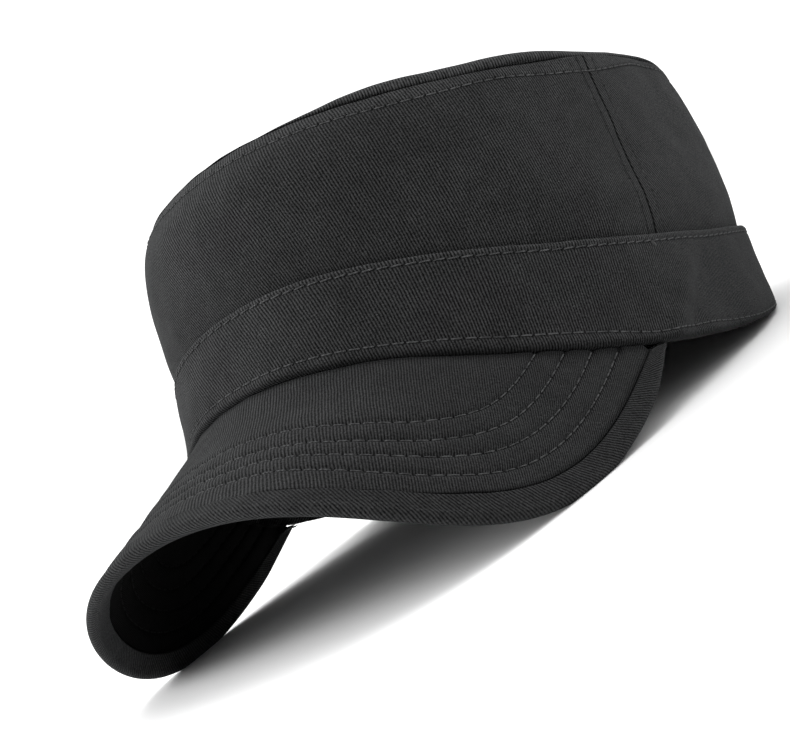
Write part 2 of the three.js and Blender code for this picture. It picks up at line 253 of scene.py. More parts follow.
def outward(angle):
    turn = np.radians(angle)
    power = 2 - 2 / OVAL_POWER
    reach = np.where(np.cos(turn) > 0, HEM_FRONT, HEM_BACK)
    across = signed_power(np.sin(turn), power) / HEM_HALF_WIDTH
    along = -signed_power(np.cos(turn), power) / reach
    direction = np.stack([across, along, np.zeros_like(turn)], -1)
    return direction / np.linalg.norm(direction, axis=-1, keepdims=True)


for ring_name in RINGS:
    widest = float(ring_point(ring_name, np.array(90.0))[0])
    print("Ring at the", ring_name, "is", round(2 * widest, 1), "mm wide")

# %% [markdown]
# ## Dents and soft ripples
# Worn cloth is never an exact surface. The main dents are listed, each a soft bump in angle and
# height: a crease in the band behind the peak's corner, the swell beside it and a swell behind the
# side seam. Finer ripples are a sum of slow waves, whose directions are drawn from a seeded list, so
# that they are the same on every run. Sculpting by hand would do too, but no one could repeat it.

# %% Dents and ripples of the cloth
DENTS = [
    {"angle": 96, "spread": 7, "height": 0.12, "reach": 0.2, "depth": 0.012},
    {"angle": 84, "spread": 6, "height": 0.14, "reach": 0.2, "depth": -0.006},
    {"angle": 114, "spread": 18, "height": 0.62, "reach": 0.28, "depth": -0.015},
]
RIPPLE_WAVES = 16


def side_angle(angle):
    return np.abs((angle + 180) % 360 - 180)


def dent_depth(angle, height):
    side = side_angle(angle)
    total = np.zeros(np.broadcast(angle, height).shape)
    for dent in DENTS:
        round_part = (side - dent["angle"]) / dent["spread"]
        up_part = (height - dent["height"]) / dent["reach"]
        total = total + HEM_HALF_WIDTH * dent["depth"] * np.exp(-(round_part**2) - up_part**2)
    return total


def ripple(points, length, seed):
    draw = np.random.default_rng(seed)
    direction = draw.normal(size=(RIPPLE_WAVES, 3))
    direction /= np.linalg.norm(direction, axis=1, keepdims=True)
    start = draw.uniform(0, 2 * math.pi, RIPPLE_WAVES)
    lengths = length * draw.uniform(0.7, 1.5, RIPPLE_WAVES)
    waves = np.sin(points @ (direction / lengths[:, None]).T * 2 * math.pi + start)
    return waves.sum(-1) / math.sqrt(RIPPLE_WAVES / 2)


def ripples(points, waves, seed):
    return sum(
        wave["height"] * ripple(points, wave["length"], seed + step) for step, wave in enumerate(waves)
    )


def bump(distance, width):
    return np.exp(-((distance / width) ** 2))


def smooth_step(value, start, end):
    share = np.clip((value - start) / (end - start), 0, 1)
    return share * share * (3 - 2 * share)


def round_edge(distance, radius):
    inside = np.clip(1 - distance / radius, 0, 1)
    return radius * (1 - np.sqrt(1 - inside**2))


print(len(DENTS), "dents on each side, and ripples of", RIPPLE_WAVES, "waves each")

# %% [markdown]
# ## The faces of band and crown
# Both faces are stretched between two rings. The band's is straight from hem to fold, as its doubled
# cloth is stiff. The crown's swells between its rings, and its foot leans in to pass behind the band.
# Each face takes an inset, so that one function gives both the outer and the inner side of a wall.

# %% Faces of band and crown
def band_face(angle, share, inset):
    part = np.asarray(share)[..., None]
    face = ring_point("hem", angle) * (1 - part) + ring_point("band top", angle) * part
    dent = dent_depth(angle, share * BAND_HEIGHT / CROWN_HEIGHT)
    return face - outward(angle) * (inset + dent)[..., None]


def crown_face(angle, share, inset):
    turn = np.radians(angle)
    part = np.asarray(share)[..., None]
    face = ring_point("band top", angle) * (1 - part) + ring_point("top seam", angle) * part
    end_bulge = np.where(np.cos(turn) > 0, FRONT_BULGE, BACK_BULGE)
    bulge = end_bulge * np.cos(turn) ** 2 + SIDE_BULGE * np.sin(turn) ** 2
    swell = 4 * share * (1 - share) * (1 + BULGE_LIFT * (2 * share - 1))
    stand = (BAND_WALL + CLEARANCE) * np.clip(1 - share / TUCK_SHARE, 0, 1) ** 2
    band_share = BAND_HEIGHT / CROWN_HEIGHT
    dent = dent_depth(angle, band_share + (1 - band_share) * share)
    return face + outward(angle) * (bulge * swell - stand - inset - dent)[..., None]


front_seam = crown_face(np.zeros(1), np.ones(1), np.zeros(1))[0]
print("Top seam at the front:", [round(float(value), 1) for value in front_seam], "mm on the hem plane")

# %% [markdown]
# ## Lengths along the cloth
# A weave follows the cloth, so it needs lengths measured along the cloth. The run along a line is the
# sum of its short steps. Before it is sewn, a crown panel or a band lies on the table as a strip cut in
# a curve, so run and height are bent round a wide circle. This lets the ribs lean one way in front
# and another at the side, as they do on the real cap. A straight strip would lean them all alike.

# %% Measure and lay flat
def run_along(path):
    return np.concatenate([[0], np.cumsum(np.linalg.norm(np.diff(path, axis=0), axis=1))])


def from_middle(path):
    run = run_along(path)
    return run - run[len(run) // 2]


def flat_pattern(along, up, radius, curved=150.0):
    bent = np.clip(along, -curved, curved)
    turn, rest = bent / radius, along - bent
    across = (radius - up) * np.sin(turn) + rest * np.cos(turn)
    return np.stack([across, radius - (radius - up) * np.cos(turn) + rest * np.sin(turn)], -1)


hem_line = ring_point("hem", np.linspace(-180, 180, 721))
print("The hem is", round(float(run_along(hem_line)[-1])), "mm round")

# %% [markdown]
# ## Making a cloth piece
# Each piece is a grid of points: rows run up the outer face, over the fold and down the inner face,
# and join up, so the cloth has a real thickness and no open edge. The grid also carries three things
# that the finishes follow: the cloth's own coordinates, as on the flat pattern that a tailor cuts, the
# way along and aside of the nearest row of stitches, and a factor on the colour, called fade, which is
# painted light and shade mixed with some wear: paler on worn, lit edges, and darker as painted shade in
# seams and under edges. Building all this from arrays takes a fraction of a second, where adding faces
# one at a time takes minutes.

# %% Grid to mesh
FAR_ASIDE = 50.0


def add_piece(name, corners, faces, face_cloth, finish, stands_for=(), face_row=None, fade=None):
    mesh = bpy.data.meshes.new(name)
    mesh.from_pydata(corners.reshape(-1, 3).tolist(), [], [list(face) for face in faces])
    cloth = mesh.uv_layers.new(name="cloth")
    cloth.data.foreach_set("uv", (np.concatenate(face_cloth) / 1000).ravel())
    row = mesh.uv_layers.new(name="stitch row")
    if face_row is None:
        face_row = [np.full((len(mesh.loops), 2), FAR_ASIDE)]
    row.data.foreach_set("uv", np.concatenate(face_row).ravel())
    # The fade attribute scales the colour: above 1 for wear and painted highlight, below 1 for painted
    # shade.
    wear_and_light_factor = mesh.attributes.new("fade", "FLOAT", "POINT")
    wear_and_light_factor.data.foreach_set("value", np.ones(len(mesh.vertices)) if fade is None else fade.ravel())
    mesh.polygons.foreach_set("use_smooth", np.ones(len(mesh.polygons), bool))
    mesh.materials.append(finish)
    piece = bpy.data.objects.new(name, mesh)
    bpy.context.scene.collection.objects.link(piece)
    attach(piece, "root")
    if stands_for:
        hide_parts(*stands_for)
    print(name, "made:", len(mesh.polygons), "faces")
    return piece


def nearest_rows(corner_rows):
    asides = np.stack([row[..., 1] for row in corner_rows])
    nearest = np.abs(asides).mean(-1).argmin(0)
    stacked = np.stack(corner_rows)
    return np.take_along_axis(stacked, nearest[None, :, None, None], 0)[0]


def grid_piece(name, points, cloth, finish, stands_for=(), closed_round=False, rows=(), fade=None):
    count, columns = points.shape[:2]
    patches = columns if closed_round else columns - 1
    row, column = np.meshgrid(np.arange(count), np.arange(patches), indexing="ij")
    row, column = row.ravel(), column.ravel()
    next_row, next_column = (row + 1) % count, (column + 1) % columns
    faces = np.stack([
        row * columns + column, row * columns + next_column,
        next_row * columns + next_column, next_row * columns + column,
    ], -1).tolist()

    def at_corners(grid, wrap):
        below = (row + 1) % count if wrap else row + 1
        return np.stack([
            grid[row, column], grid[row, column + 1], grid[below, column + 1], grid[below, column],
        ], 1)

    face_cloth = [at_corners(cloth, False).reshape(-1, 2)]
    face_row = [nearest_rows([at_corners(grid, True) for grid in rows]).reshape(-1, 2)] if rows else None
    if not closed_round:
        half = np.arange(count // 2 - 1)
        for end, order in ((0, (0, 1, 2, 3)), (columns - 1, (0, 3, 2, 1))):
            ring = np.stack([half, half + 1, count - 2 - half, count - 1 - half], -1)[:, order]
            faces += (ring * columns + end).tolist()
            face_cloth.append(cloth[ring, end].reshape(-1, 2))
            if rows:
                face_row.append(np.full((ring.size, 2), FAR_ASIDE))
    return add_piece(name, on_table(points), faces, face_cloth, finish, stands_for, face_row, fade)


# %% [markdown]
# ## Helpers for a finish
# A finish in Blender is a small net of nodes. Placing nodes by hand in the editor shows each step, but
# a net of thirty nodes is easier to read as code, where each helper adds one kind of node, sets its
# values and hands on its output. The wave texture repeats every 2 pi / 20 units at a scale of 1, so
# dividing that by the pitch gives waves of a real width.

# %% Helpers for shader nodes
WAVE_UNIT = 2 * math.pi / 20


def new_node(tree, kind, **settings):
    node = tree.nodes.new(kind)
    for key, value in settings.items():
        setattr(node, key, value)
    return node


def math_node(tree, operation, *values):
    node = new_node(tree, "ShaderNodeMath", operation=operation)
    for socket, value in zip(node.inputs, values):
        if isinstance(value, (int, float)):
            socket.default_value = value
        else:
            tree.links.new(value, socket)
    return node.outputs[0]


def noise_node(tree, vector, scale, detail, roughness):
    node = new_node(tree, "ShaderNodeTexNoise")
    node.inputs["Scale"].default_value = scale
    node.inputs["Detail"].default_value = detail
    node.inputs["Roughness"].default_value = roughness
    tree.links.new(vector, node.inputs["Vector"])
    return node.outputs["Fac"]


def wave_node(tree, vector, axis, pitch, distortion, detail_scale):
    node = new_node(tree, "ShaderNodeTexWave", wave_type="BANDS", bands_direction=axis, wave_profile="SIN")
    node.inputs["Scale"].default_value = WAVE_UNIT / pitch
    node.inputs["Distortion"].default_value = distortion
    node.inputs["Detail"].default_value = 1.0
    node.inputs["Detail Scale"].default_value = detail_scale
    tree.links.new(vector, node.inputs["Vector"])
    return node.outputs["Fac"]


def turned_cloth(tree, degrees):
    cloth = new_node(tree, "ShaderNodeUVMap", uv_map="cloth")
    mapping = new_node(tree, "ShaderNodeMapping")
    mapping.inputs["Rotation"].default_value = (0, 0, math.radians(degrees))
    tree.links.new(cloth.outputs["UV"], mapping.inputs["Vector"])
    return mapping.outputs["Vector"]


def soft_spot(tree, distance, width):
    share = math_node(tree, "DIVIDE", distance, width)
    square = math_node(tree, "MULTIPLY", share, share)
    return math_node(tree, "EXPONENT", math_node(tree, "MULTIPLY", square, -1.0))


print("One wave at scale 1 is", round(WAVE_UNIT, 3), "m wide")

# %% [markdown]
# ## Marks of the needle
# Beside a row of stitches the cloth is pulled into a groove, and the needle leaves a hole between two
# stitches. Both are painted into the colour as painted shade: a dark line just below the row, where the
# light from above leaves the groove in shadow, and a dark spot at each hole. Each piece carries, in its
# second set of coordinates, how many stitches along and how many millimetres aside of the nearest row a
# point lies. The fraction of the count tells how near a hole is, so the marks fall between the threads
# that are laid on later.

# %% Painted shade of the rows: dark line and needle holes
# The painted shadow line lies this far below the row, away from the light above, and is this wide.
SHADE_BELOW_ROW, LINE_WIDTH = 0.22, 0.24
HOLE_LENGTH, HOLE_WIDTH = 0.26, 0.50


def row_painted_shade(tree, slant):
    place = new_node(tree, "ShaderNodeSeparateXYZ")
    tree.links.new(new_node(tree, "ShaderNodeUVMap", uv_map="stitch row").outputs["UV"], place.inputs[0])
    along, aside = place.outputs[0], place.outputs[1]
    turn = math_node(tree, "FRACT", math_node(tree, "ADD", along, 0.5))
    from_hole = math_node(tree, "MULTIPLY", math_node(tree, "SUBTRACT", turn, 0.5), STITCH_PITCH)
    slanted = math_node(tree, "MULTIPLY_ADD", aside, slant, from_hole)
    below = math_node(tree, "SUBTRACT", aside, SHADE_BELOW_ROW)
    spot = soft_spot(tree, slanted, HOLE_LENGTH)
    hole = math_node(tree, "MULTIPLY", spot, soft_spot(tree, below, HOLE_WIDTH))
    return soft_spot(tree, below, LINE_WIDTH), hole


print("A hole every", STITCH_PITCH, "mm along a row")

# %% [markdown]
# ## Twill
# Twill is woven so that each thread steps one place aside on every row, which draws fine slanting
# ribs over the cloth, here about 0.8 mm apart. A picture of cloth would be one way to show it, but it
# would repeat and blur close by. This finish is made of waves: one across the ribs, one along them for
# the single threads, and fine noise for the fluff of washed cotton. The same mixture drives the colour
# and a bump, so the ribs catch light the way real ones do. Slow noise fades the dye in places.

# %% The twill finish
RIB_PITCH = 0.00080
YARN_PITCH = 0.00066
RIB_WANDER, YARN_WANDER = 1.6, 7.0
YARN_SWING, YARN_FLOOR = 0.32, 0.66
FLUFF_SCALE, FLUFF_SWING = 1700, 1.3
WEAVE_SWING, WEAVE_LEVEL, WEAVE_DARKEST = 2.3, 0.87, 0.10
SLOW_SCALE, SLOW_SWING = 42, 0.7
PATCH_SCALE, PATCH_SWING = 260, 0.6
# How strongly the rows' painted shade darkens the colour, and how deep the same marks sink the bump.
ROW_SHADE_DARKNESS, MARK_SINK = 0.93, 1.5
TWILL_RELIEF = 0.0002
TWILL_ROUGHNESS, TWILL_GLOSS = 0.9, 0.04
SHEEN_SPREAD, SHEEN_TINT = 0.5, (0.9, 0.93, 0.96, 1)
GREEN_SHARE, BLUE_SHARE = 1.01, 1.02


def twill(name, tone, rib_angle, contrast=1.0, sheen=0.045, groove_and_shade=0.0, slant=0.0, pitch=RIB_PITCH):
    material = bpy.data.materials.new(name)
    material.use_nodes = True
    tree = material.node_tree
    shader = tree.nodes["Principled BSDF"]
    across = turned_cloth(tree, 90 - rib_angle)
    ribs = wave_node(tree, across, "X", pitch, RIB_WANDER, 0.7)
    yarns = wave_node(tree, across, "Y", YARN_PITCH, YARN_WANDER, 4.0)
    fluff = noise_node(tree, across, FLUFF_SCALE, 1.0, 0.6)
    threads = math_node(tree, "MULTIPLY_ADD", yarns, YARN_SWING, YARN_FLOOR)
    threads = math_node(tree, "MULTIPLY", ribs, threads)
    fuzz = math_node(tree, "MULTIPLY_ADD", fluff, FLUFF_SWING, -FLUFF_SWING / 2)
    weave = math_node(tree, "ADD", threads, fuzz)
    shade = math_node(tree, "MULTIPLY_ADD", weave, WEAVE_SWING * contrast, 1.0 - WEAVE_LEVEL * contrast)
    shade = math_node(tree, "MAXIMUM", shade, WEAVE_DARKEST)
    place = new_node(tree, "ShaderNodeTexCoord").outputs["Object"]
    slow = noise_node(tree, place, SLOW_SCALE, 3.0, 0.6)
    slow = math_node(tree, "MULTIPLY_ADD", slow, SLOW_SWING, 1 - SLOW_SWING / 2)
    patchy = noise_node(tree, place, PATCH_SCALE, 2.0, 0.6)
    patchy = math_node(tree, "MULTIPLY_ADD", patchy, PATCH_SWING, 1 - PATCH_SWING / 2)
    # The fade attribute darkens the colour with painted shade in seams and under edges, and lightens it with
    # wear and painted highlight on edges.
    wear_and_light_factor = new_node(tree, "ShaderNodeAttribute", attribute_name="fade").outputs["Fac"]
    patchy_wear_and_light = math_node(tree, "MULTIPLY", patchy, wear_and_light_factor)
    level = math_node(tree, "MULTIPLY", math_node(tree, "MULTIPLY", shade, slow), patchy_wear_and_light)
    height = weave
    # Rows of stitches darken the colour here with painted shade along the groove and in the needle holes;
    # the same marks sink the bump.
    if groove_and_shade:
        line, hole = row_painted_shade(tree, slant)
        shade_and_sink = math_node(tree, "MAXIMUM", math_node(tree, "MULTIPLY", line, groove_and_shade), hole)
        kept = math_node(tree, "SUBTRACT", 1.0, math_node(tree, "MULTIPLY", shade_and_sink, ROW_SHADE_DARKNESS))
        level = math_node(tree, "MULTIPLY", level, kept)
        height = math_node(tree, "SUBTRACT", weave, math_node(tree, "MULTIPLY", shade_and_sink, MARK_SINK))
    colour = new_node(tree, "ShaderNodeVectorMath", operation="SCALE")
    colour.inputs[0].default_value = (tone, tone * GREEN_SHARE, tone * BLUE_SHARE)
    tree.links.new(level, colour.inputs["Scale"])
    tree.links.new(colour.outputs[0], shader.inputs["Base Color"])
    raised = new_node(tree, "ShaderNodeBump")
    raised.inputs["Strength"].default_value = 1.0
    raised.inputs["Distance"].default_value = TWILL_RELIEF
    tree.links.new(height, raised.inputs["Height"])
    tree.links.new(raised.outputs["Normal"], shader.inputs["Normal"])
    shader.inputs["Roughness"].default_value = TWILL_ROUGHNESS
    shader.inputs["Specular IOR Level"].default_value = TWILL_GLOSS
    shader.inputs["Sheen Weight"].default_value = sheen
    shader.inputs["Sheen Roughness"].default_value = SHEEN_SPREAD
    shader.inputs["Sheen Tint"].default_value = SHEEN_TINT
    return material


# %% [markdown]
# ## The finishes of the cap
# Every piece is the same black cloth, but each is cut another way, handled more or less and lies in
# another light, so each gets its own tone and its own slant of the ribs, and the tones carry painted
# light and shade as well. The binding is cut on the bias. The peak's cloth is a little coarser. The top
# is the palest of the black cloths, as painted light from above, and the cloth and thread under the
# peak are painted close to black, as painted shade. Thread is smoother than cloth and shows a shade paler.

# %% One finish for each kind of cloth
CROWN_TWILL = twill("crown twill", tone=0.0202, rib_angle=109, groove_and_shade=0.6, slant=0.3)
BAND_TWILL = twill("band twill", tone=0.0196, rib_angle=115, groove_and_shade=0.55, slant=0.8)
PEAK_TWILL = twill("peak twill", tone=0.0182, rib_angle=71, contrast=0.9, groove_and_shade=0.85, pitch=0.00088)
# The cloth under the peak is painted close to black, as painted shade.
UNDER_TWILL_IN_SHADE = twill(
    "twill in painted shade under the peak", tone=0.0022, rib_angle=71, contrast=0.5, sheen=0.0, groove_and_shade=0.5,
)
BINDING_TWILL = twill("binding twill", tone=0.0155, rib_angle=45, contrast=0.8)
# The top's paler tone is painted light from above.
TOP_TWILL = twill("top twill", tone=0.028, rib_angle=130)
# The sweatband is painted paler than its cotton, as painted light on the sliver inside the cap.
SWEAT_COTTON_WITH_PAINTED_LIGHT = twill("sweatband cotton", tone=0.06, rib_angle=30, contrast=0.4)
THREAD = twill("black thread", tone=0.062, rib_angle=60, contrast=0.3)
SEAM_THREAD = twill("seam thread", tone=0.036, rib_angle=60, contrast=0.3)
# The thread under the peak is painted dark, as painted shade.
SHADED_THREAD = twill("thread in painted shade under the peak", tone=0.010, rib_angle=60, contrast=0.3, sheen=0.0)
cloths = (CROWN_TWILL, BAND_TWILL, PEAK_TWILL, UNDER_TWILL_IN_SHADE, BINDING_TWILL, TOP_TWILL, SWEAT_COTTON_WITH_PAINTED_LIGHT)
threads = (THREAD, SEAM_THREAD, SHADED_THREAD)
print("Cloths:", [finish.name for finish in cloths])
print("Threads:", [finish.name for finish in threads])

# %% [markdown]
# ## Rows of stitches
# A machine stitch is a short length of thread that comes up out of the cloth, lies on it and goes down
# again. Whole stitches are fitted into the length of a row, and the cloth beside the row carries the
# same count, so that its needle holes fall between the stitches. Rows could also be drawn in the
# finish alone, but then they would look flat from the side.

# %% Count stitches along a line
PUCKER_UNEVEN = 0.6
FINE = np.linspace(-180, 180, 2401)


def stitch_count(run, pitch=STITCH_PITCH):
    count = max(int(run[-1] // pitch), 1)
    return count, (run[-1] - count * pitch) / 2


def count_along(path, places, at):
    run = run_along(path)
    start = stitch_count(run)[1]
    return (np.interp(at, places, run) - start) / STITCH_PITCH


def pucker(angle, face, seed):
    run = np.radians(angle) * (HEM_HALF_WIDTH + HEM_FRONT) / 2
    return np.cos(2 * math.pi * run / STITCH_PITCH) + PUCKER_UNEVEN * ripple(face, 5, seed)


print("A row round the hem takes", stitch_count(run_along(hem_line))[0], "stitches")

# %% [markdown]
# ## The crown panels
# Two panels meet at the side seams, where the cloth turns in and a thin dark valley shows. On each
# side of the seam and just below the top, a row of topstitching holds the folded allowance, which
# makes that strip a little thicker. The relief of all this is a sum of small bumps of the distance
# from each seam, added to the smooth wall. Modelling it in the mesh, not only as a bump map, lets the
# seams shade and break the outline from every side.

# %% Relief of the crown
TOP_ROW_DROP = 4.4
SEAM_ROW_ASIDE = 3.0
CROWN_RIPPLES = [{"height": 0.25, "length": 34}, {"height": 0.08, "length": 12}]
CROWN_SEED, TOP_PUCKER_SEED, SIDE_PUCKER_SEED = 11, 13, 14
TOP_EDGE_ROUND, SEAM_EDGE_ROUND = 0.6, 0.45
TOP_STRIP_STAND, SEAM_STRIP_STAND = 0.22, 0.10
TOP_ROW_SINK, TOP_PUCKER, SIDE_PUCKER = 0.14, 0.06, 0.04


def seam_distance(angle):
    return np.abs(side_angle(angle) - SIDE_SEAM_ANGLE) * math.pi / 180 * HEM_HALF_WIDTH


def top_row_drop(angle):
    side = side_angle(angle)
    return TOP_ROW_DROP - 1.3 * bump(side - 62, 12) - 2.6 * smooth_step(side, 84, 100)


def crown_relief(angle, share, face):
    drop = top_row_drop(angle)
    below_top = (1 - share) * CROWN_RISE
    height = share * CROWN_RISE
    beside = seam_distance(angle)
    top_strip = smooth_step(drop - below_top, -0.3, 0.6)
    seam_strip = smooth_step(SEAM_ROW_ASIDE - beside, -0.3, 0.6)
    relief = ripples(face, CROWN_RIPPLES, CROWN_SEED)
    relief = relief + TOP_STRIP_STAND * top_strip - round_edge(below_top, TOP_EDGE_ROUND)
    relief = relief - TOP_ROW_SINK * bump(below_top - drop, 0.5)
    along_top = pucker(angle, face, TOP_PUCKER_SEED)
    relief = relief + TOP_PUCKER * along_top * bump(below_top - drop / 2, 2.2)
    relief = relief - round_edge(beside, SEAM_EDGE_ROUND) + SEAM_STRIP_STAND * seam_strip
    upright = np.cos(2 * math.pi * height / STITCH_PITCH) + PUCKER_UNEVEN * ripple(face, 6, SIDE_PUCKER_SEED)
    return relief + SIDE_PUCKER * upright * bump(beside - SEAM_ROW_ASIDE / 2, 2.4)


def crown_cloth_face(angle, share):
    face = crown_face(angle, share, np.zeros_like(share))
    return face + outward(angle) * crown_relief(angle, share, face)[..., None]


print("The top row lies", TOP_ROW_DROP, "mm below the seam, and the side rows", SEAM_ROW_ASIDE, "mm aside")

# %% [markdown]
# ## From relief to panels
# A panel is a grid of angles and heights. The grid could be even, but it is far finer close to the
# seams, where the cloth turns in within half a millimetre, and coarser on the open wall. Besides its
# points, the panel gets the two rows that mark it and a fade on its colour: paler on the strip along
# the top, partly wear and partly painted highlight, and darker down in the seams, as painted shade.

# %% Crown panels
CROWN_PATTERN_RADIUS = 665.0
SEAM_STRIP = 7.0
# The strip along the top is painted paler: partly wear, partly painted highlight from the light above.
TOP_WEAR_AND_HIGHLIGHT = 0.30
# Painted shade down in the side seams and at the top seam.
SEAM_PAINTED_SHADE, TOP_SEAM_PAINTED_SHADE = 0.9, 0.45


def crown_rows(angle, share):
    top_path = crown_cloth_face(FINE, 1 - top_row_drop(FINE) / CROWN_RISE)
    below_row = (1 - share) * CROWN_RISE - top_row_drop(angle)
    top = np.stack([count_along(top_path, FINE, (angle + 180) % 360 - 180), below_row], -1)
    aside = np.where(side_angle(angle) > 60, SEAM_ROW_ASIDE - seam_distance(angle), FAR_ASIDE)
    side = np.stack([share * CROWN_RISE / STITCH_PITCH, aside], -1)
    return [top, side]


def crown_angles(start, end):
    strip = math.degrees(SEAM_STRIP / HEM_HALF_WIDTH)
    near = start + np.concatenate([np.linspace(0, 0.12, 5), np.linspace(0.12, 1, 26)[1:]]) * strip
    middle = np.linspace(start + strip, end - strip, 300)[1:-1]
    return np.concatenate([near, middle, start + end - near[::-1]])


def crown_panel(name, start, end, node):
    share_up = np.concatenate([
        np.linspace(0, 0.89, 44), np.linspace(0.89, 0.99, 22)[1:], np.linspace(0.99, 1, 5)[1:],
    ])
    angles = crown_angles(start, end)
    foot = np.array([FOOT_LIFT / BAND_HEIGHT, 0.5])
    angle_foot, share_foot = np.meshgrid(angles, foot)
    angle_wall, share_wall = np.meshgrid(angles, share_up)
    layers = []
    for inset in (0.0, CROWN_WALL):
        lower = band_face(angle_foot, share_foot, np.full_like(share_foot, BAND_WALL + CLEARANCE + inset))
        upper = crown_face(angle_wall, share_wall, np.full_like(share_wall, inset))
        if inset == 0.0:
            upper = crown_cloth_face(angle_wall, share_wall)
        layers.append(np.concatenate([lower, upper]))
    points = np.concatenate([layers[0], layers[1][::-1]])
    rise = np.concatenate([foot * BAND_HEIGHT, BAND_HEIGHT + share_up * CROWN_RISE])
    rise = np.concatenate([rise, rise[::-1], rise[:1]])[:, None]
    cloth = flat_pattern(from_middle(points[len(share_up) // 2]), rise - BAND_HEIGHT, CROWN_PATTERN_RADIUS)
    hidden = np.full((*points.shape[:2], 2), FAR_ASIDE)
    rows = []
    for row in crown_rows(angle_wall, share_wall):
        whole = hidden.copy()
        whole[2:2 + len(share_up)] = row
        rows.append(whole)
    fade = np.ones(points.shape[:2])
    beside, below_top = seam_distance(angle_wall), (1 - share_wall) * CROWN_RISE
    # Paler strip along the top: partly wear, partly painted highlight.
    wear_and_painted_light = 1 + TOP_WEAR_AND_HIGHLIGHT * smooth_step(top_row_drop(angle_wall) - below_top, -0.2, 0.8)
    # Painted shade down in the side seams and at the top seam.
    in_seam_shade, at_top_shade = 1 - SEAM_PAINTED_SHADE * bump(beside, 0.28), 1 - TOP_SEAM_PAINTED_SHADE * bump(below_top, 0.3)
    fade[2:2 + len(share_up)] = wear_and_painted_light * in_seam_shade * at_top_shade
    grid_piece(name, points, cloth, CROWN_TWILL, (node,), rows=rows, fade=fade)


SEAM_GAP = math.degrees(CLEARANCE / 2 / HEM_HALF_WIDTH)
front_end, back_start = SIDE_SEAM_ANGLE - SEAM_GAP, SIDE_SEAM_ANGLE + SEAM_GAP
crown_panel("crown_front_cloth", -front_end, front_end, "crown_front")
crown_panel("crown_back_cloth", back_start, 360 - back_start, "crown_back")

# %% [markdown]
# ## The band
# The band is a strip folded along its top, laid over the foot of the crown and turned up at the hem.
# The fold stands up as a small worn lip with a row of stitches just under it. The turned hem is
# thicker, so it swells below its own row of stitches and rolls under. Behind the peak's corner the
# band folds sharply: a bright ridge that leans back as it climbs, with a hollow behind it. Its flat
# pattern is a curved strip, so the ribs lean differently at the front and at the side.

# %% Relief of the band
BAND_ROW_DROP = 1.9
HEM_ROW_LIFT = 4.0
HEM_ROLL = 1.5
FOLD_ROLL = 0.8
FOLD_FOOT_ANGLE, FOLD_TOP_ANGLE = 77.5, 91.0
FOLD_HEIGHT, FOLD_HOLLOW = 1.2, 1.4
BAND_RIPPLES = [{"height": 0.18, "length": 26}, {"height": 0.07, "length": 9}]
BAND_SEED, BAND_PUCKER_SEED = 21, 23
FOLD_ROW_SINK, HEM_ROW_SINK, HEM_SWELL = 0.25, 0.22, 0.35
FOLD_PUCKER, HEM_PUCKER = 0.05, 0.06


def hem_row_lift(angle):
    side = side_angle(angle)
    return HEM_ROW_LIFT - 1.7 * bump(side - 76, 9) - 2.8 * smooth_step(side, 78, 106)


def corner_fold(angle, share):
    past = side_angle(angle) - FOLD_FOOT_ANGLE - (FOLD_TOP_ANGLE - FOLD_FOOT_ANGLE) * share
    swell = FOLD_HEIGHT * bump(np.minimum(past, 0), 4.0)
    fall = swell - (FOLD_HEIGHT + FOLD_HOLLOW) * smooth_step(past, -0.5, 5)
    back = -FOLD_HOLLOW * bump(np.maximum(past - 5, 0), 9)
    strength = 1 - 0.75 * smooth_step(share, 0.45, 1)
    return strength * np.where(past > 5, back, fall)


def band_relief(angle, lift, face):
    below_fold = BAND_HEIGHT - lift
    relief = ripples(face, BAND_RIPPLES, BAND_SEED) + corner_fold(angle, lift / BAND_HEIGHT)
    along_row = pucker(angle, face, BAND_PUCKER_SEED)
    relief = relief - FOLD_ROW_SINK * bump(below_fold - BAND_ROW_DROP - 0.2, 0.5)
    relief = relief + FOLD_PUCKER * along_row * bump(below_fold - BAND_ROW_DROP / 2, 1.6)
    row_lift = hem_row_lift(angle)
    relief = relief + HEM_SWELL * bump(lift - row_lift / 2, row_lift / 2.2)
    relief = relief - HEM_ROW_SINK * bump(lift - row_lift, 0.6)
    relief = relief + HEM_PUCKER * along_row * bump(lift - row_lift, 2.0)
    return relief - round_edge(lift, HEM_ROLL) - round_edge(below_fold, FOLD_ROLL)


def band_cloth_face(angle, lift):
    share = lift / BAND_HEIGHT
    face = band_face(angle, share, np.zeros_like(share))
    return face + outward(angle) * band_relief(angle, lift, face)[..., None]


print("The band's fold leans back", FOLD_TOP_ANGLE - FOLD_FOOT_ANGLE, "degrees of the oval as it climbs")

# %% [markdown]
# ## From relief to band
# The band goes all the way round, so its grid closes on itself and needs no ends. Its inner face stays
# smooth, because only the crown lies against it. The fold is painted pale, partly wear and partly painted
# highlight, and the hem's lower edge is painted dark, as painted shade under its roll.

# %% Band mesh
BAND_PATTERN_RADIUS, BAND_CURVED = 208.0, 125.0
# Paler fold: wear and painted highlight. Darker hem edge: painted shade under the roll.
FOLD_WEAR_AND_HIGHLIGHT, HEM_PAINTED_SHADE = 0.6, 0.65


def band_rows(angle, lift):
    rows = []
    for row_lift in (np.full_like(FINE, BAND_HEIGHT - BAND_ROW_DROP), hem_row_lift(FINE)):
        path = band_cloth_face(FINE, row_lift)
        rows.append(np.stack([count_along(path, FINE, angle), np.interp(angle, FINE, row_lift) - lift], -1))
    return rows


def round_end(radius, steps):
    return radius * (1 - np.cos(np.linspace(0, math.pi / 2, steps)))


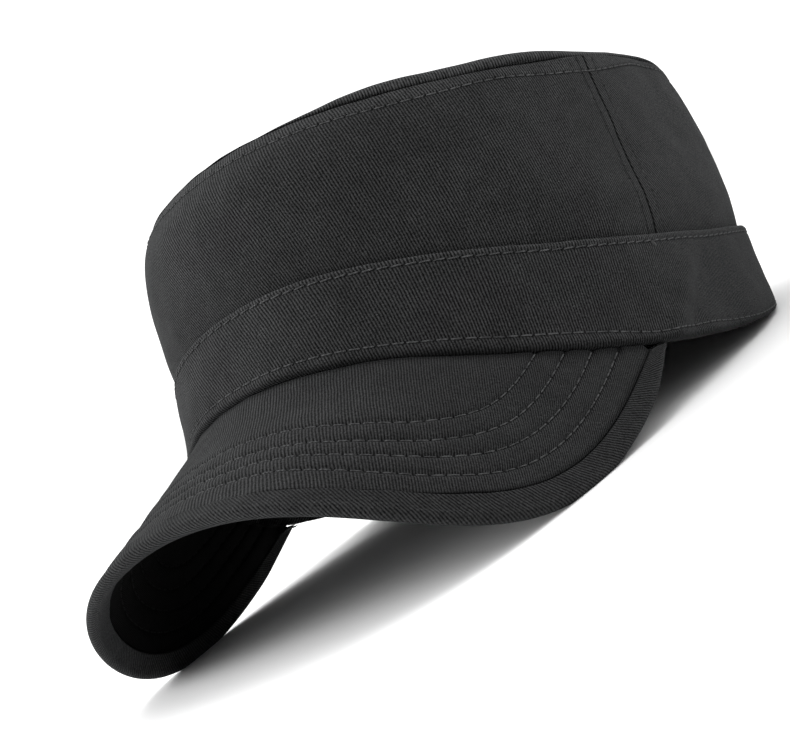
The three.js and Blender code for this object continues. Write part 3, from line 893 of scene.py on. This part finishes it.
def band_mesh():
    angles = np.linspace(-180, 180, 901)
    fold_steps = BAND_HEIGHT - round_end(FOLD_ROLL, 6)[::-1]
    middle = np.arange(HEM_ROLL, BAND_HEIGHT - FOLD_ROLL, 0.55)[1:]
    lifts = np.concatenate([round_end(HEM_ROLL, 8), middle, fold_steps])
    angle, lift = np.meshgrid(angles, lifts)
    outer = band_cloth_face(angle, lift)
    inner = band_face(angle, lift / BAND_HEIGHT, np.full_like(lift, BAND_WALL))
    points = np.concatenate([outer, inner[::-1]])
    rise = np.concatenate([lifts, lifts[::-1], lifts[:1]])[:, None]
    cloth = flat_pattern(from_middle(points[len(lifts) // 2]), rise, BAND_PATTERN_RADIUS, BAND_CURVED)
    hidden = np.full((*inner.shape[:2], 2), FAR_ASIDE)
    rows = [np.concatenate([row, hidden]) for row in band_rows(angle, lift)]
    # Fold painted paler for wear and as painted highlight; hem edge darkened as painted shade.
    wear_and_painted_light = 1 + FOLD_WEAR_AND_HIGHLIGHT * bump(BAND_HEIGHT - lift, 1.0) - HEM_PAINTED_SHADE * bump(lift, 1.3)
    fade = np.concatenate([wear_and_painted_light, np.ones_like(wear_and_painted_light)])[:, :-1]
    grid_piece(
        "band_cloth", points[:, :-1], cloth, BAND_TWILL, ("band",), True, rows, fade,
    )


band_mesh()

# %% [markdown]
# ## The sweatband
# Inside, a plain cotton strip lines the foot of the crown. Only a sliver of it shows from below, so a
# thin ring with softly rounded edges is enough.

# %% Sweatband mesh
SWEAT_ROWS = 16
SWEAT_EDGE_EASE = 0.3


def sweatband_mesh():
    angles = np.linspace(-180, 180, 361)
    depth = BAND_WALL + CROWN_WALL + 2 * CLEARANCE
    crown_share = (SWEAT_HEIGHT - BAND_HEIGHT) / CROWN_RISE
    ease = np.zeros(SWEAT_ROWS)
    ease[[0, -1]] = SWEAT_EDGE_EASE
    layers = []
    for more in (0.0, SWEAT_WALL):
        angle, share = np.meshgrid(angles, np.linspace(FOOT_LIFT / BAND_HEIGHT, 1, SWEAT_ROWS - 2))
        lower = band_face(angle, share, np.full_like(share, depth + more))
        angle, share = np.meshgrid(angles, np.array([crown_share / 2, crown_share]))
        upper = crown_face(angle, share, np.full_like(share, CROWN_WALL + CLEARANCE + more))
        soft = np.where(more > 0, -ease, ease)[:, None, None]
        layers.append(np.concatenate([lower, upper]) - outward(angles)[None] * soft)
    points = np.concatenate([layers[0], layers[1][::-1]])
    run = from_middle(points[SWEAT_ROWS // 2])
    rise = np.linspace(FOOT_LIFT, SWEAT_HEIGHT, SWEAT_ROWS)
    rise = np.concatenate([rise, rise[::-1], rise[:1]])
    cloth = np.stack(np.broadcast_arrays(run[None], rise[:, None]), -1)
    grid_piece(
        "sweatband_cloth", points[:, :-1], cloth, SWEAT_COTTON_WITH_PAINTED_LIGHT, ("sweatband",), True,
    )


sweatband_mesh()

# %% [markdown]
# ## The puffed top
# The oval top is cut a little large. At the sides it puffs up from its seam and rolls over, and at the
# front and back it lies low, drawn flat by the crown's forward lean. It could be blown up by a cloth
# simulation, but it has to keep its height to a millimetre where it shows over the seam, so rings that
# follow the seam shrink towards a soft crest in the middle instead.

# %% Rings of the top
TOP_COLUMNS = 360
TOP_RIPPLES = [{"height": 0.3, "length": 45}, {"height": 0.06, "length": 12}]
TOP_SEED = 31
TOP_SEAM_DRAWN_IN = 0.3
# Painted shade at the top's seam, under its roll.
ROLL_SEAM_PAINTED_SHADE = 0.45


def top_puff(angle):
    side = side_angle(angle)
    swell = smooth_step(side, 10, 46) * (1 - smooth_step(side, 62, 130))
    return TOP_END_PUFF + (TOP_SIDE_PUFF - TOP_END_PUFF) * swell


def top_rings(depth, angles):
    puff = top_puff(angles)
    rolls = np.radians(np.linspace(0, 85, 14))
    rings = [
        (depth + TOP_ROLL * (1 - math.cos(roll)), (puff - depth) * math.sin(roll), 1.0)
        for roll in rolls
    ]
    shares = np.concatenate([np.linspace(0.985, 0.8, 8), np.linspace(0.76, 0.04, 22)])
    rings += [
        (depth + TOP_ROLL, TOP_CREST + (puff - TOP_CREST) * share**2 - depth, share)
        for share in shares
    ]
    rows = []
    for inset, lift, shrink in rings:
        seam = crown_face(angles, np.ones_like(angles), np.full_like(angles, inset))
        wave = seam[:, 2] - CROWN_HEIGHT
        seat = CROWN_HEIGHT + CLEARANCE + wave * shrink
        rows.append(np.stack([seam[:, 0] * shrink, seam[:, 1] * shrink, seat + lift], -1))
    points = np.stack(rows)
    if depth == 0:
        points[..., 2] += ripples(points, TOP_RIPPLES, TOP_SEED)
        points[0] -= outward(angles) * TOP_SEAM_DRAWN_IN
    return points


print("The top puffs up", [round(float(top_puff(angle)), 1) for angle in (0, 45, 90, 180)], "mm")

# %% [markdown]
# ## From rings to a closed top
# The under face and the outer face are two stacks of rings, joined at the seam. Each stack ends in a
# small ring in the middle, and a fan of triangles to one point closes it. The twill runs straight over
# the oval, so the plan itself serves as the cloth's coordinates.

# %% Top mesh
def top_mesh():
    angles = np.linspace(0, 360, TOP_COLUMNS + 1)[:-1]
    points = np.concatenate([top_rings(CROWN_WALL, angles)[::-1], top_rings(0.0, angles)])
    count, columns = points.shape[:2]
    row, column = np.meshgrid(np.arange(count - 1), np.arange(columns), indexing="ij")
    row, column = row.ravel(), column.ravel()
    beside = (column + 1) % columns
    quads = np.stack([
        row * columns + column, row * columns + beside,
        (row + 1) * columns + beside, (row + 1) * columns + column,
    ], -1)
    flat = points.reshape(-1, 3)
    corners = np.concatenate([flat, [points[0].mean(0), points[-1].mean(0)]])
    last = (count - 1) * columns
    step = np.arange(columns)
    after = (step + 1) % columns
    under = np.stack([np.full(columns, len(flat)), after, step], -1)
    over = np.stack([last + step, last + after, np.full(columns, len(flat) + 1)], -1)
    faces = quads.tolist() + under.tolist() + over.tolist()
    face_cloth = [corners[part].reshape(-1, 3)[:, :2] for part in (quads, under, over)]
    fade = np.ones(len(corners))
    # Painted shade on the rings at the seam, under the roll of the top.
    ring_painted_shade = 1 - ROLL_SEAM_PAINTED_SHADE * bump(np.arange(count) - count / 2, 0.8)
    fade[: len(flat)] = ring_painted_shade[:, None].repeat(columns, 1).ravel()
    add_piece(
        "top_cloth", on_table(corners), faces, face_cloth, TOP_TWILL,
        ("top_panel",), fade=fade,
    )


top_mesh()

# %% [markdown]
# ## The peak's arch
# The peak is a stiff board that bends down at both sides. Seen from above it is drawn in a plan, side
# reach and reach down its slope, and one formula gives the height over that plan. Its root is lifted to
# lie close under the hem, all along.

# %% The peak's face
PEAK_SLOPE = math.radians(33)
PEAK_REACH, PEAK_DIP, PEAK_SAG, PEAK_SAG_ROUND = 49.1, 3.0, 71.4, 0.435
PEAK_FLARE, PEAK_FLARE_REACH = 1.6, 25.0
PEAK_END_ANGLE, PEAK_OUTLINE_POWER = 75.3, 3.03
PEAK_ROOT_BLEND, PEAK_TUCK, PEAK_ROOT_SHY = 16.0, 2.0, 2.0
BINDING_FRONT, BINDING_SIDE, BINDING_LEAD, BINDING_POWER = 6.1, 2.7, 10.1, 2.93

front_reach = HEM_FRONT / math.cos(PEAK_SLOPE)
peak_end = ring_point("hem", np.array(PEAK_END_ANGLE))
edge_start = -peak_end[1] / math.cos(PEAK_SLOPE)
peak_half_width = peak_end[0] + PEAK_FLARE
root_height = ring_point("hem", np.array(0.0))[2] - PEAK_DIP


def arch_height(x, s):
    share = x / peak_half_width
    sag = PEAK_SAG * (PEAK_SAG_ROUND * share**2 + (1 - PEAK_SAG_ROUND) * share**4)
    return root_height - sag - (s - front_reach) * math.sin(PEAK_SLOPE)


def arch_lean(x):
    share = x / peak_half_width
    return -PEAK_SAG / peak_half_width * (2 * PEAK_SAG_ROUND * share + 4 * (1 - PEAK_SAG_ROUND) * share**3)


def hem_angle(x):
    across = np.clip(np.abs(x) / HEM_HALF_WIDTH, 0, 1)
    return np.degrees(np.arcsin(across ** (OVAL_POWER / 2)))


def root_lift(x, s):
    hem = ring_point("hem", np.minimum(hem_angle(x), PEAK_END_ANGLE))
    hem_reach = -hem[..., 1] / math.cos(PEAK_SLOPE)
    fade = np.clip(1 - (s - hem_reach) / PEAK_ROOT_BLEND, 0, 1)
    return (hem[..., 2] - HEM_CLEARANCE - arch_height(hem[..., 0], hem_reach)) * fade**2


def peak_face(plan):
    x, s = plan[..., 0], plan[..., 1]
    return np.stack([x, -s * math.cos(PEAK_SLOPE), arch_height(x, s) + root_lift(x, s)], -1)


def peak_normal(plan):
    nudge = 0.05
    side, down = np.array([nudge, 0]), np.array([0, nudge])
    across = peak_face(plan + side) - peak_face(plan - side)
    along = peak_face(plan + down) - peak_face(plan - down)
    normal = np.cross(along, across)
    return normal / np.linalg.norm(normal, axis=-1, keepdims=True)


def sunk(plan, depth):
    return peak_face(plan) - peak_normal(plan) * np.asarray(depth)[..., None]


print("The peak is", round(2 * float(peak_half_width), 1), "mm wide and bends down", PEAK_SAG, "mm")

# %% [markdown]
# ## Outlines of the peak
# The edge of the peak and the seam of its binding are both squared ovals in the plan, one inside the
# other, and so are the four rows of stitching. A row is told by its half width, where it starts, how
# far it reaches and how square it is. These shapes nest but aren't exact offsets of one another,
# because the rows fan out towards the front. The distance from a row has to be measured on the arched
# cloth and not in the plan, or the channels would grow wide on the steep sides.

# %% Edge, seam and stitch rows in the plan
EDGE = {
    "half_width": peak_half_width, "start": edge_start,
    "depth": front_reach + PEAK_REACH - edge_start, "power": PEAK_OUTLINE_POWER, "flare": PEAK_FLARE,
}
SEAM = {
    "half_width": peak_half_width - BINDING_SIDE, "start": edge_start + BINDING_LEAD,
    "depth": front_reach + PEAK_REACH - BINDING_FRONT - edge_start - BINDING_LEAD,
    "power": BINDING_POWER, "flare": 0.0,
}
STITCH_INSETS = [
    {"front": 30.2, "side": 15.0, "lead": 43.8, "power": 2.84},
    {"front": 23.9, "side": 11.4, "lead": 35.3, "power": 2.89},
    {"front": 19.0, "side": 8.3, "lead": 27.1, "power": 2.94},
    {"front": 13.8, "side": 5.6, "lead": 19.9, "power": 3.01},
]
STITCH_ROWS = [
    {
        "half_width": peak_half_width - row["side"], "start": edge_start + row["lead"],
        "depth": front_reach + PEAK_REACH - row["front"] - edge_start - row["lead"],
        "power": row["power"], "flare": 0.0,
    }
    for row in STITCH_INSETS
]


def outline_point(outline, turn):
    depth = outline["depth"] * np.abs(np.cos(turn)) ** (2 / outline["power"])
    drawn_in = outline["flare"] * np.clip(1 - depth / PEAK_FLARE_REACH, 0, 1) ** 2
    side = outline["half_width"] * signed_power(np.sin(turn), 2 / outline["power"])
    return np.stack([side - np.sign(side) * drawn_in, outline["start"] + depth], -1)


def row_shares(row, plan):
    past_start = np.maximum(plan[..., 1] - row["start"], 0)
    return np.abs(plan[..., 0]) / row["half_width"], past_start / row["depth"]


def row_distance(row, plan):
    power = row["power"]
    across, along = row_shares(row, plan)
    by_side = power * across ** (power - 1) / row["half_width"] * np.sign(plan[..., 0])
    by_reach = power * along ** (power - 1) / row["depth"]
    lean, fall = arch_lean(plan[..., 0]), math.sin(PEAK_SLOPE)
    squares = by_side**2 + 2 * lean * fall * by_side * by_reach + (1 + lean**2) * by_reach**2
    steep = np.sqrt(squares / (1 + (lean * math.cos(PEAK_SLOPE)) ** 2))
    near = (across**power + along**power - 1) / np.maximum(steep, 1e-6)
    return np.where(plan[..., 1] > row["start"], near, FAR_ASIDE)


def row_turn(row, plan):
    across, along = row_shares(row, plan)
    power = row["power"] / 2
    return np.arctan2(np.sign(plan[..., 0]) * across**power, along**power)


def even_turns(outline, count):
    fine = np.linspace(-math.pi / 2, math.pi / 2, 6001)
    run = run_along(peak_face(outline_point(outline, fine)))
    return np.interp(np.linspace(0, run[-1], count), run, fine), run[-1]


print("The peak's edge is", round(float(even_turns(EDGE, 2)[1])), "mm long")

# %% [markdown]
# ## The covered peak
# Two twill covers are sewn to the board through and through, so each row of stitches pulls a shallow
# channel into the cloth, above and below, and the strip between two rows stands up a little. The
# twill is laid flat on the board before it is bent, so its pattern is measured along the arch. At the
# corners the cover and its binding run on under the hem, as they do in the real seam. The underside
# is in deep shade in the photograph, so its cover takes a darker finish.

# %% Relief of the peak
CHANNEL_DEPTH, CHANNEL_WIDTH = 0.45, 0.5
STRIP_PUFF = 0.2
COVER_RIPPLES = [{"height": 0.12, "length": 24}, {"height": 0.05, "length": 8}]
UPPER_SEED, UNDER_SEED = 41, 43
TUCKED_COLUMNS = np.array([0.4, 0.8, 1.3, 1.9, 2.6])


def cover_relief(plan, face, seed):
    away = np.stack([row_distance(row, plan) for row in STITCH_ROWS])
    nearest = np.abs(away).min(0)
    relief = ripples(face, COVER_RIPPLES, seed) + STRIP_PUFF * smooth_step(nearest, 0.3, 2.4)
    return relief - CHANNEL_DEPTH * bump(nearest - 0.1, CHANNEL_WIDTH)


def cover_path(row, seed):
    turns = np.linspace(-math.pi / 2, math.pi / 2, 3001)
    plan = outline_point(row, turns)
    hem_reach = -ring_point("hem", hem_angle(plan[:, 0]))[:, 1] / math.cos(PEAK_SLOPE)
    shown = plan[:, 1] > hem_reach - 1.0
    plan, turns = plan[shown], turns[shown]
    face, normal = peak_face(plan), peak_normal(plan)
    lift = cover_relief(plan, face, seed)
    if seed == UPPER_SEED:
        return turns, face + normal * lift[:, None], normal
    return turns, face - normal * (PEAK_WALL + lift)[:, None], -normal


def extend_back(points):
    ends = []
    slim = 1 - 0.6 * smooth_step(TUCKED_COLUMNS, 0, 2.5)
    for end in (0, -1):
        more = np.repeat(points[:, [end]], len(TUCKED_COLUMNS), 1)
        under_hem = more[..., 2].max() - 0.05 * TUCKED_COLUMNS - 0.3 * np.minimum(TUCKED_COLUMNS, 1)
        more[..., 0] -= np.sign(more[..., 0]) * 0.55 * TUCKED_COLUMNS
        more[..., 1] += TUCKED_COLUMNS
        more[..., 2] = under_hem - (more[..., 2].max() - more[..., 2]) * slim
        ends.append(more)
    return np.concatenate([ends[0][:, ::-1], points, ends[1]], 1)


def widen(grid):
    more = len(TUCKED_COLUMNS)
    return np.concatenate([np.repeat(grid[:, :1], more, 1), grid, np.repeat(grid[:, -1:], more, 1)], 1)


print("Channels", CHANNEL_DEPTH, "mm deep, and corners tucked", TUCKED_COLUMNS[-1], "mm under the hem")

# %% [markdown]
# ## Lines across the peak
# Every column of the peak's grid starts at the hem, crosses the seam of the binding and ends at the
# edge. Even steps in the plan would crowd at the corners, so the columns stand at even steps of the
# edge's true length. Round the rim, the cloth turns over the board in a half circle, in a frame made
# of the face's own direction and the way straight out of the edge.

# %% Columns and rim
PEAK_COLUMNS = 380
PEAK_PATTERN_RADIUS = 220.0
ARCH_SIDES = np.linspace(-90, 90, 1801)
ARCH_RUN = run_along(np.stack([ARCH_SIDES, arch_height(ARCH_SIDES, 0 * ARCH_SIDES)], -1))

turns, edge_length = even_turns(EDGE, PEAK_COLUMNS)
edge_plan, seam_plan = outline_point(EDGE, turns), outline_point(SEAM, turns)
root_end_angle = min(float(hem_angle(seam_plan[-1, 0])), PEAK_END_ANGLE) - PEAK_ROOT_SHY
root_angles = np.linspace(-root_end_angle, root_end_angle, PEAK_COLUMNS)
root_hem = ring_point("hem", root_angles)
root_plan = np.stack([root_hem[:, 0], -root_hem[:, 1] / math.cos(PEAK_SLOPE)], -1)
strip_width = np.linalg.norm(peak_face(seam_plan) - peak_face(edge_plan), axis=-1)
COVER_SHARES = np.concatenate([
    np.linspace(0, 0.05, 9), np.linspace(0.05, 0.97, 88)[1:], np.linspace(0.97, 1, 9)[1:],
])
RIM_RADIUS = PEAK_BOARD / 2 + CLEARANCE + BINDING_WALL
RIM_STRETCH = 0.3


def rim_frame():
    tip, face = peak_face(edge_plan), peak_normal(edge_plan)
    out = tip - peak_face(edge_plan + (seam_plan - edge_plan) * RIM_STRETCH)
    out = out - face * (out * face).sum(-1, keepdims=True)
    out /= np.linalg.norm(out, axis=-1, keepdims=True)
    return face, out, tip - face * PEAK_WALL / 2 - out * RIM_RADIUS


rim_face, rim_out, rim_middle = rim_frame()


def rim_point(radius, turn):
    return rim_middle + rim_face * radius * math.cos(turn) + rim_out * radius * math.sin(turn)


flap_widths = [round(float(width), 1) for width in (strip_width.min(), strip_width.max())]
print("The binding's flap, narrowest and widest:", flap_widths, "mm")

# %% [markdown]
# ## Upper and under cover
# One closed grid holds both covers: it runs from the hem over the upper cover to the edge, round the
# board, and back along the under cover. The peak could be two thin sheets, but one closed body has no
# open edge to show. The cover is painted darker where it meets the hem and the binding: painted shade
# under the hem and in the binding's seam, deeper towards the corners.

# %% Peak mesh
# Painted shade near the root under the hem, and along the binding's seam.
ROOT_PAINTED_SHADE = 0.75
SEAM_SHADE_FRONT, SEAM_SHADE_MORE = 0.1, 0.65


def peak_layer(depth, tongue, tips, seed):
    side = 1 if depth == 0 else -1
    tucked = root_hem - outward(root_angles) * PEAK_TUCK
    tucked[:, 2] = root_hem[:, 2] - HEM_CLEARANCE
    points, plans = [tucked - peak_normal(root_plan) * depth], [root_plan]
    for share in COVER_SHARES:
        plan = root_plan + (seam_plan - root_plan) * share
        points.append(sunk(plan, depth - side * cover_relief(plan, peak_face(plan), seed)))
        plans.append(plan)
    inside = seam_plan + (edge_plan - seam_plan) * (CLEARANCE / 2 / strip_width)[:, None]
    points.append(sunk(inside, np.full(PEAK_COLUMNS, depth + side * tongue)))
    points += [rim_point(PEAK_BOARD / 2, turn) for turn in tips]
    plans += [inside] + [edge_plan] * len(tips)
    return np.stack(points), np.stack(plans)


def cover_rows(plans, seed):
    rows = []
    for row in STITCH_ROWS:
        path_turns, path = cover_path(row, seed)[:2]
        count = count_along(path, path_turns, row_turn(row, plans))
        rows.append(np.stack([count, row_distance(row, plans)], -1))
    return rows


def seam_shade():
    return SEAM_SHADE_FRONT + SEAM_SHADE_MORE * smooth_step(np.abs(seam_plan[:, 0]), 42, 62)


# Painted shade: darker near the root under the hem and beside the binding's seam.
def cover_painted_shade(plans):
    from_root = np.linalg.norm(plans - root_plan, axis=-1)
    from_seam = np.linalg.norm(plans - seam_plan, axis=-1)
    return (1 - ROOT_PAINTED_SHADE * bump(from_root, 1.1)) * (1 - seam_shade() * bump(from_seam, 0.4))


def peak_mesh():
    tongue = (PEAK_WALL - PEAK_BOARD) / 2
    above, above_plan = peak_layer(0, tongue, (0, math.pi / 3), UPPER_SEED)
    below, below_plan = peak_layer(PEAK_WALL, tongue, (math.pi, 2 * math.pi / 3), UNDER_SEED)
    points = np.concatenate([below, above[::-1]])
    plans = np.concatenate([below_plan, above_plan[::-1]])
    run = np.interp(plans[..., 0], ARCH_SIDES, ARCH_RUN) - ARCH_RUN[len(ARCH_RUN) // 2]
    cloth = widen(flat_pattern(run, plans[..., 1] - front_reach, PEAK_PATTERN_RADIUS))
    rows = [
        widen(np.concatenate([under, over[::-1]]))
        for under, over in zip(cover_rows(below_plan, UNDER_SEED), cover_rows(above_plan, UPPER_SEED))
    ]
    cloth = np.concatenate([cloth, cloth[:1]])
    fade = widen(cover_painted_shade(plans))
    piece = grid_piece(
        "peak_cover", extend_back(points), cloth, PEAK_TWILL, ("peak",), False, rows, fade,
    )
    # The under cover takes the twill painted dark as painted shade.
    piece.data.materials.append(UNDER_TWILL_IN_SHADE)
    finish = np.zeros(len(piece.data.polygons), np.int32)
    finish[: (len(below) - 3) * (PEAK_COLUMNS + 2 * len(TUCKED_COLUMNS) - 1)] = 1
    piece.data.polygons.foreach_set("material_index", finish)


peak_mesh()

# %% [markdown]
# ## The binding
# A strip cut on the slant is folded round the edge and lies snugly on both covers, so it reads as one
# soft roll with a fine dark line where it meets the cover, deepened by painted shade. The upper half of
# its rounded edge is painted paler, partly wear and partly painted highlight. Being cut on the slant,
# its ribs run at about half a right angle to the edge all the way round.

# %% Binding mesh
BINDING_STEPS = np.concatenate([[0, 0.03, 0.07], np.linspace(0.13, 1, 12)])
BINDING_RIPPLES = [{"height": 0.07, "length": 12}, {"height": 0.04, "length": 5}]
BINDING_SEED = 51
BINDING_EDGE_ROUND = 0.35
# The upper half of the rim is painted paler: partly wear, partly painted highlight.
RIM_WEAR_AND_HIGHLIGHT = 1.25


def binding_flap(inset, upper):
    proud = RIM_RADIUS - inset - PEAK_WALL / 2
    last = np.minimum(1 - (RIM_RADIUS + 0.15) / strip_width, 0.85)
    first = CLEARANCE / strip_width
    rows = []
    for step in BINDING_STEPS:
        plan = seam_plan + (edge_plan - seam_plan) * (first + (last - first) * step)[:, None]
        stand = np.full(PEAK_COLUMNS, proud)
        if inset == 0:
            from_seam = step * (last - first) * strip_width
            wave = ripples(peak_face(plan), BINDING_RIPPLES, BINDING_SEED)
            stand += wave - round_edge(from_seam, BINDING_EDGE_ROUND)
        rows.append(sunk(plan, -stand if upper else PEAK_WALL + stand))
    return np.stack(rows)


def binding_layer(inset):
    rim = np.stack([rim_point(RIM_RADIUS - inset, turn) for turn in np.linspace(0, math.pi, 15)])
    return np.concatenate([binding_flap(inset, True), rim, binding_flap(inset, False)[::-1]])


def binding_mesh():
    outer, inner = binding_layer(0), binding_layer(BINDING_WALL)
    points = extend_back(np.concatenate([inner, outer[::-1]]))
    run = np.linspace(0, edge_length, PEAK_COLUMNS)
    across = run_along(outer[:, PEAK_COLUMNS // 2])
    across = np.concatenate([across, across[::-1], across[:1]])
    cloth = widen(np.stack(np.broadcast_arrays(run[None], across[:, None]), -1))
    steps = len(BINDING_STEPS)
    wear_and_painted_light = np.ones((len(outer), PEAK_COLUMNS))
    # Painted shade along the seam where the binding meets the cover.
    wear_and_painted_light[[0, -1]] -= seam_shade()
    wear_and_painted_light[[1, -2]] -= 0.4 * seam_shade()
    # Upper half of the rim painted paler: wear and painted highlight.
    wear_and_painted_light[steps:steps + 8] = RIM_WEAR_AND_HIGHLIGHT
    wear_and_painted_light = widen(np.concatenate([wear_and_painted_light, wear_and_painted_light[::-1]]))
    grid_piece(
        "binding_cloth", points, cloth, BINDING_TWILL, ("peak_binding",), fade=wear_and_painted_light,
    )


binding_mesh()

# %% [markdown]
# ## Thread
# Each stitch is a slim bent tube whose two ends dip under the surface, and a row repeats it at an even
# pitch along a line on the cloth. All stitches of a seam are one mesh, built from arrays.

# %% Stitches along a line
THREAD_RADIUS = 0.20
STITCH_SHARE = 0.98
STITCH_STATIONS = 7
THREAD_SIDES = 6
STITCH_ASIDE = -0.05


def stitches(path, normal, radius=THREAD_RADIUS, high=0.10, slant=0.0, pitch=STITCH_PITCH):
    run = run_along(path)
    count, spare = stitch_count(run, pitch)
    start = spare + pitch * (1 - STITCH_SHARE) / 2
    share = np.linspace(0, 1, STITCH_STATIONS)
    place = start + (np.arange(count)[:, None] + share[None] * STITCH_SHARE) * pitch
    centre = np.stack([np.interp(place, run, path[:, axis]) for axis in range(3)], -1)
    up = np.stack([np.interp(place, run, normal[:, axis]) for axis in range(3)], -1)
    up /= np.linalg.norm(up, axis=-1, keepdims=True)
    forward = np.gradient(centre, axis=1)
    aside = np.cross(forward, up)
    aside /= np.linalg.norm(aside, axis=-1, keepdims=True)
    centre = centre + aside * (STITCH_ASIDE + slant * (0.5 - share))[None, :, None]
    dip = high - (high + 2.2 * radius) * np.abs(2 * share - 1) ** 5
    centre = centre + up * dip[None, :, None]
    forward = np.gradient(centre, axis=1)
    forward /= np.linalg.norm(forward, axis=-1, keepdims=True)
    side = np.cross(forward, up)
    side /= np.linalg.norm(side, axis=-1, keepdims=True)
    lift = np.cross(side, forward)
    turn = 2 * math.pi * np.arange(THREAD_SIDES) / THREAD_SIDES
    ring = side[:, :, None] * np.cos(turn)[:, None] + lift[:, :, None] * np.sin(turn)[:, None]
    return centre[:, :, None] + radius * ring


def thread_piece(name, tubes, finish=THREAD):
    tube = np.concatenate(tubes)
    count, stations, sides = tube.shape[:3]
    base = (np.arange(count) * stations * sides)[:, None, None]
    station = np.arange(stations - 1)[None, :, None] * sides
    side = np.arange(sides)[None, None, :]
    beside = (side + 1) % sides
    ring, next_ring = base + station, base + station + sides
    quads = np.stack(np.broadcast_arrays(
        ring + side, ring + beside, next_ring + beside, next_ring + side,
    ), -1).reshape(-1, 4)
    caps = (base[:, :, 0] + np.arange(sides)[::-1]).tolist()
    caps += (base[:, :, 0] + (stations - 1) * sides + np.arange(sides)).tolist()
    faces = quads.tolist() + caps
    flat = tube.reshape(-1, 3)
    corner_cloth = [flat[face][:, :2] for face in faces]
    add_piece(name, on_table(flat), faces, corner_cloth, finish)


shown = round(STITCH_SHARE * STITCH_PITCH, 1)
print("Each stitch shows", shown, "mm of thread,", 2 * THREAD_RADIUS, "mm thick")

# %% [markdown]
# ## Rows of stitching
# The seams of the wall are lines of constant height or constant angle, so their stitches follow from
# the same functions as the cloth. The rows on the peak follow their ovals and are cut off where they
# pass under the hem. On each side of the band, one short upright tack of a few stitches holds its fold.

# %% Stitch the cap
SEAM_THREAD_RADIUS = 0.15
TACK_ANGLE, TACK_STEP, TACK_STITCHES = 80.3, 0.22, 3
TACK_PITCH, TACK_RADIUS, TACK_POINTS = 1.9, 0.16, 40


def wall_rows():
    top_row = crown_cloth_face(FINE, 1 - top_row_drop(FINE) / CROWN_RISE)
    fold_row = band_cloth_face(FINE, np.full_like(FINE, BAND_HEIGHT - BAND_ROW_DROP))
    hem_row = band_cloth_face(FINE, hem_row_lift(FINE))
    out = outward(FINE)
    thread_piece("top_seam_stitches", [stitches(top_row, out)])
    thread_piece("band_fold_stitches", [stitches(fold_row, out, slant=0.35)])
    thread_piece("hem_stitches", [stitches(hem_row, out)])


def side_rows():
    tubes = []
    shares = np.linspace(0.02, 0.9, 200)
    for side in (-1, 1):
        for aside in (-1, 1):
            turn = side * SIDE_SEAM_ANGLE + aside * math.degrees(SEAM_ROW_ASIDE / HEM_HALF_WIDTH)
            angle = np.full_like(shares, turn)
            path = crown_cloth_face(angle, shares)
            tubes.append(stitches(path, outward(angle), radius=SEAM_THREAD_RADIUS, high=0.0))
    thread_piece("side_seam_stitches", tubes, SEAM_THREAD)


def tacks():
    tubes = []
    for side in (-1, 1):
        for step in range(TACK_STITCHES):
            angle = np.full(TACK_POINTS, side * (TACK_ANGLE + TACK_STEP * step))
            drop = np.linspace(1.5, 3.5 + 0.3 * step, TACK_POINTS)
            path = band_cloth_face(angle, BAND_HEIGHT - drop)
            tubes.append(stitches(path, outward(angle), radius=TACK_RADIUS, pitch=TACK_PITCH))
    thread_piece("band_tacks", tubes)


def peak_rows():
    for name, seed, finish in (("upper", UPPER_SEED, THREAD), ("under", UNDER_SEED, SHADED_THREAD)):
        tubes = []
        for row in STITCH_ROWS:
            tubes.append(stitches(*cover_path(row, seed)[1:]))
        thread_piece(name + "_peak_stitches", tubes, finish)


wall_rows()
side_rows()
tacks()
peak_rows()
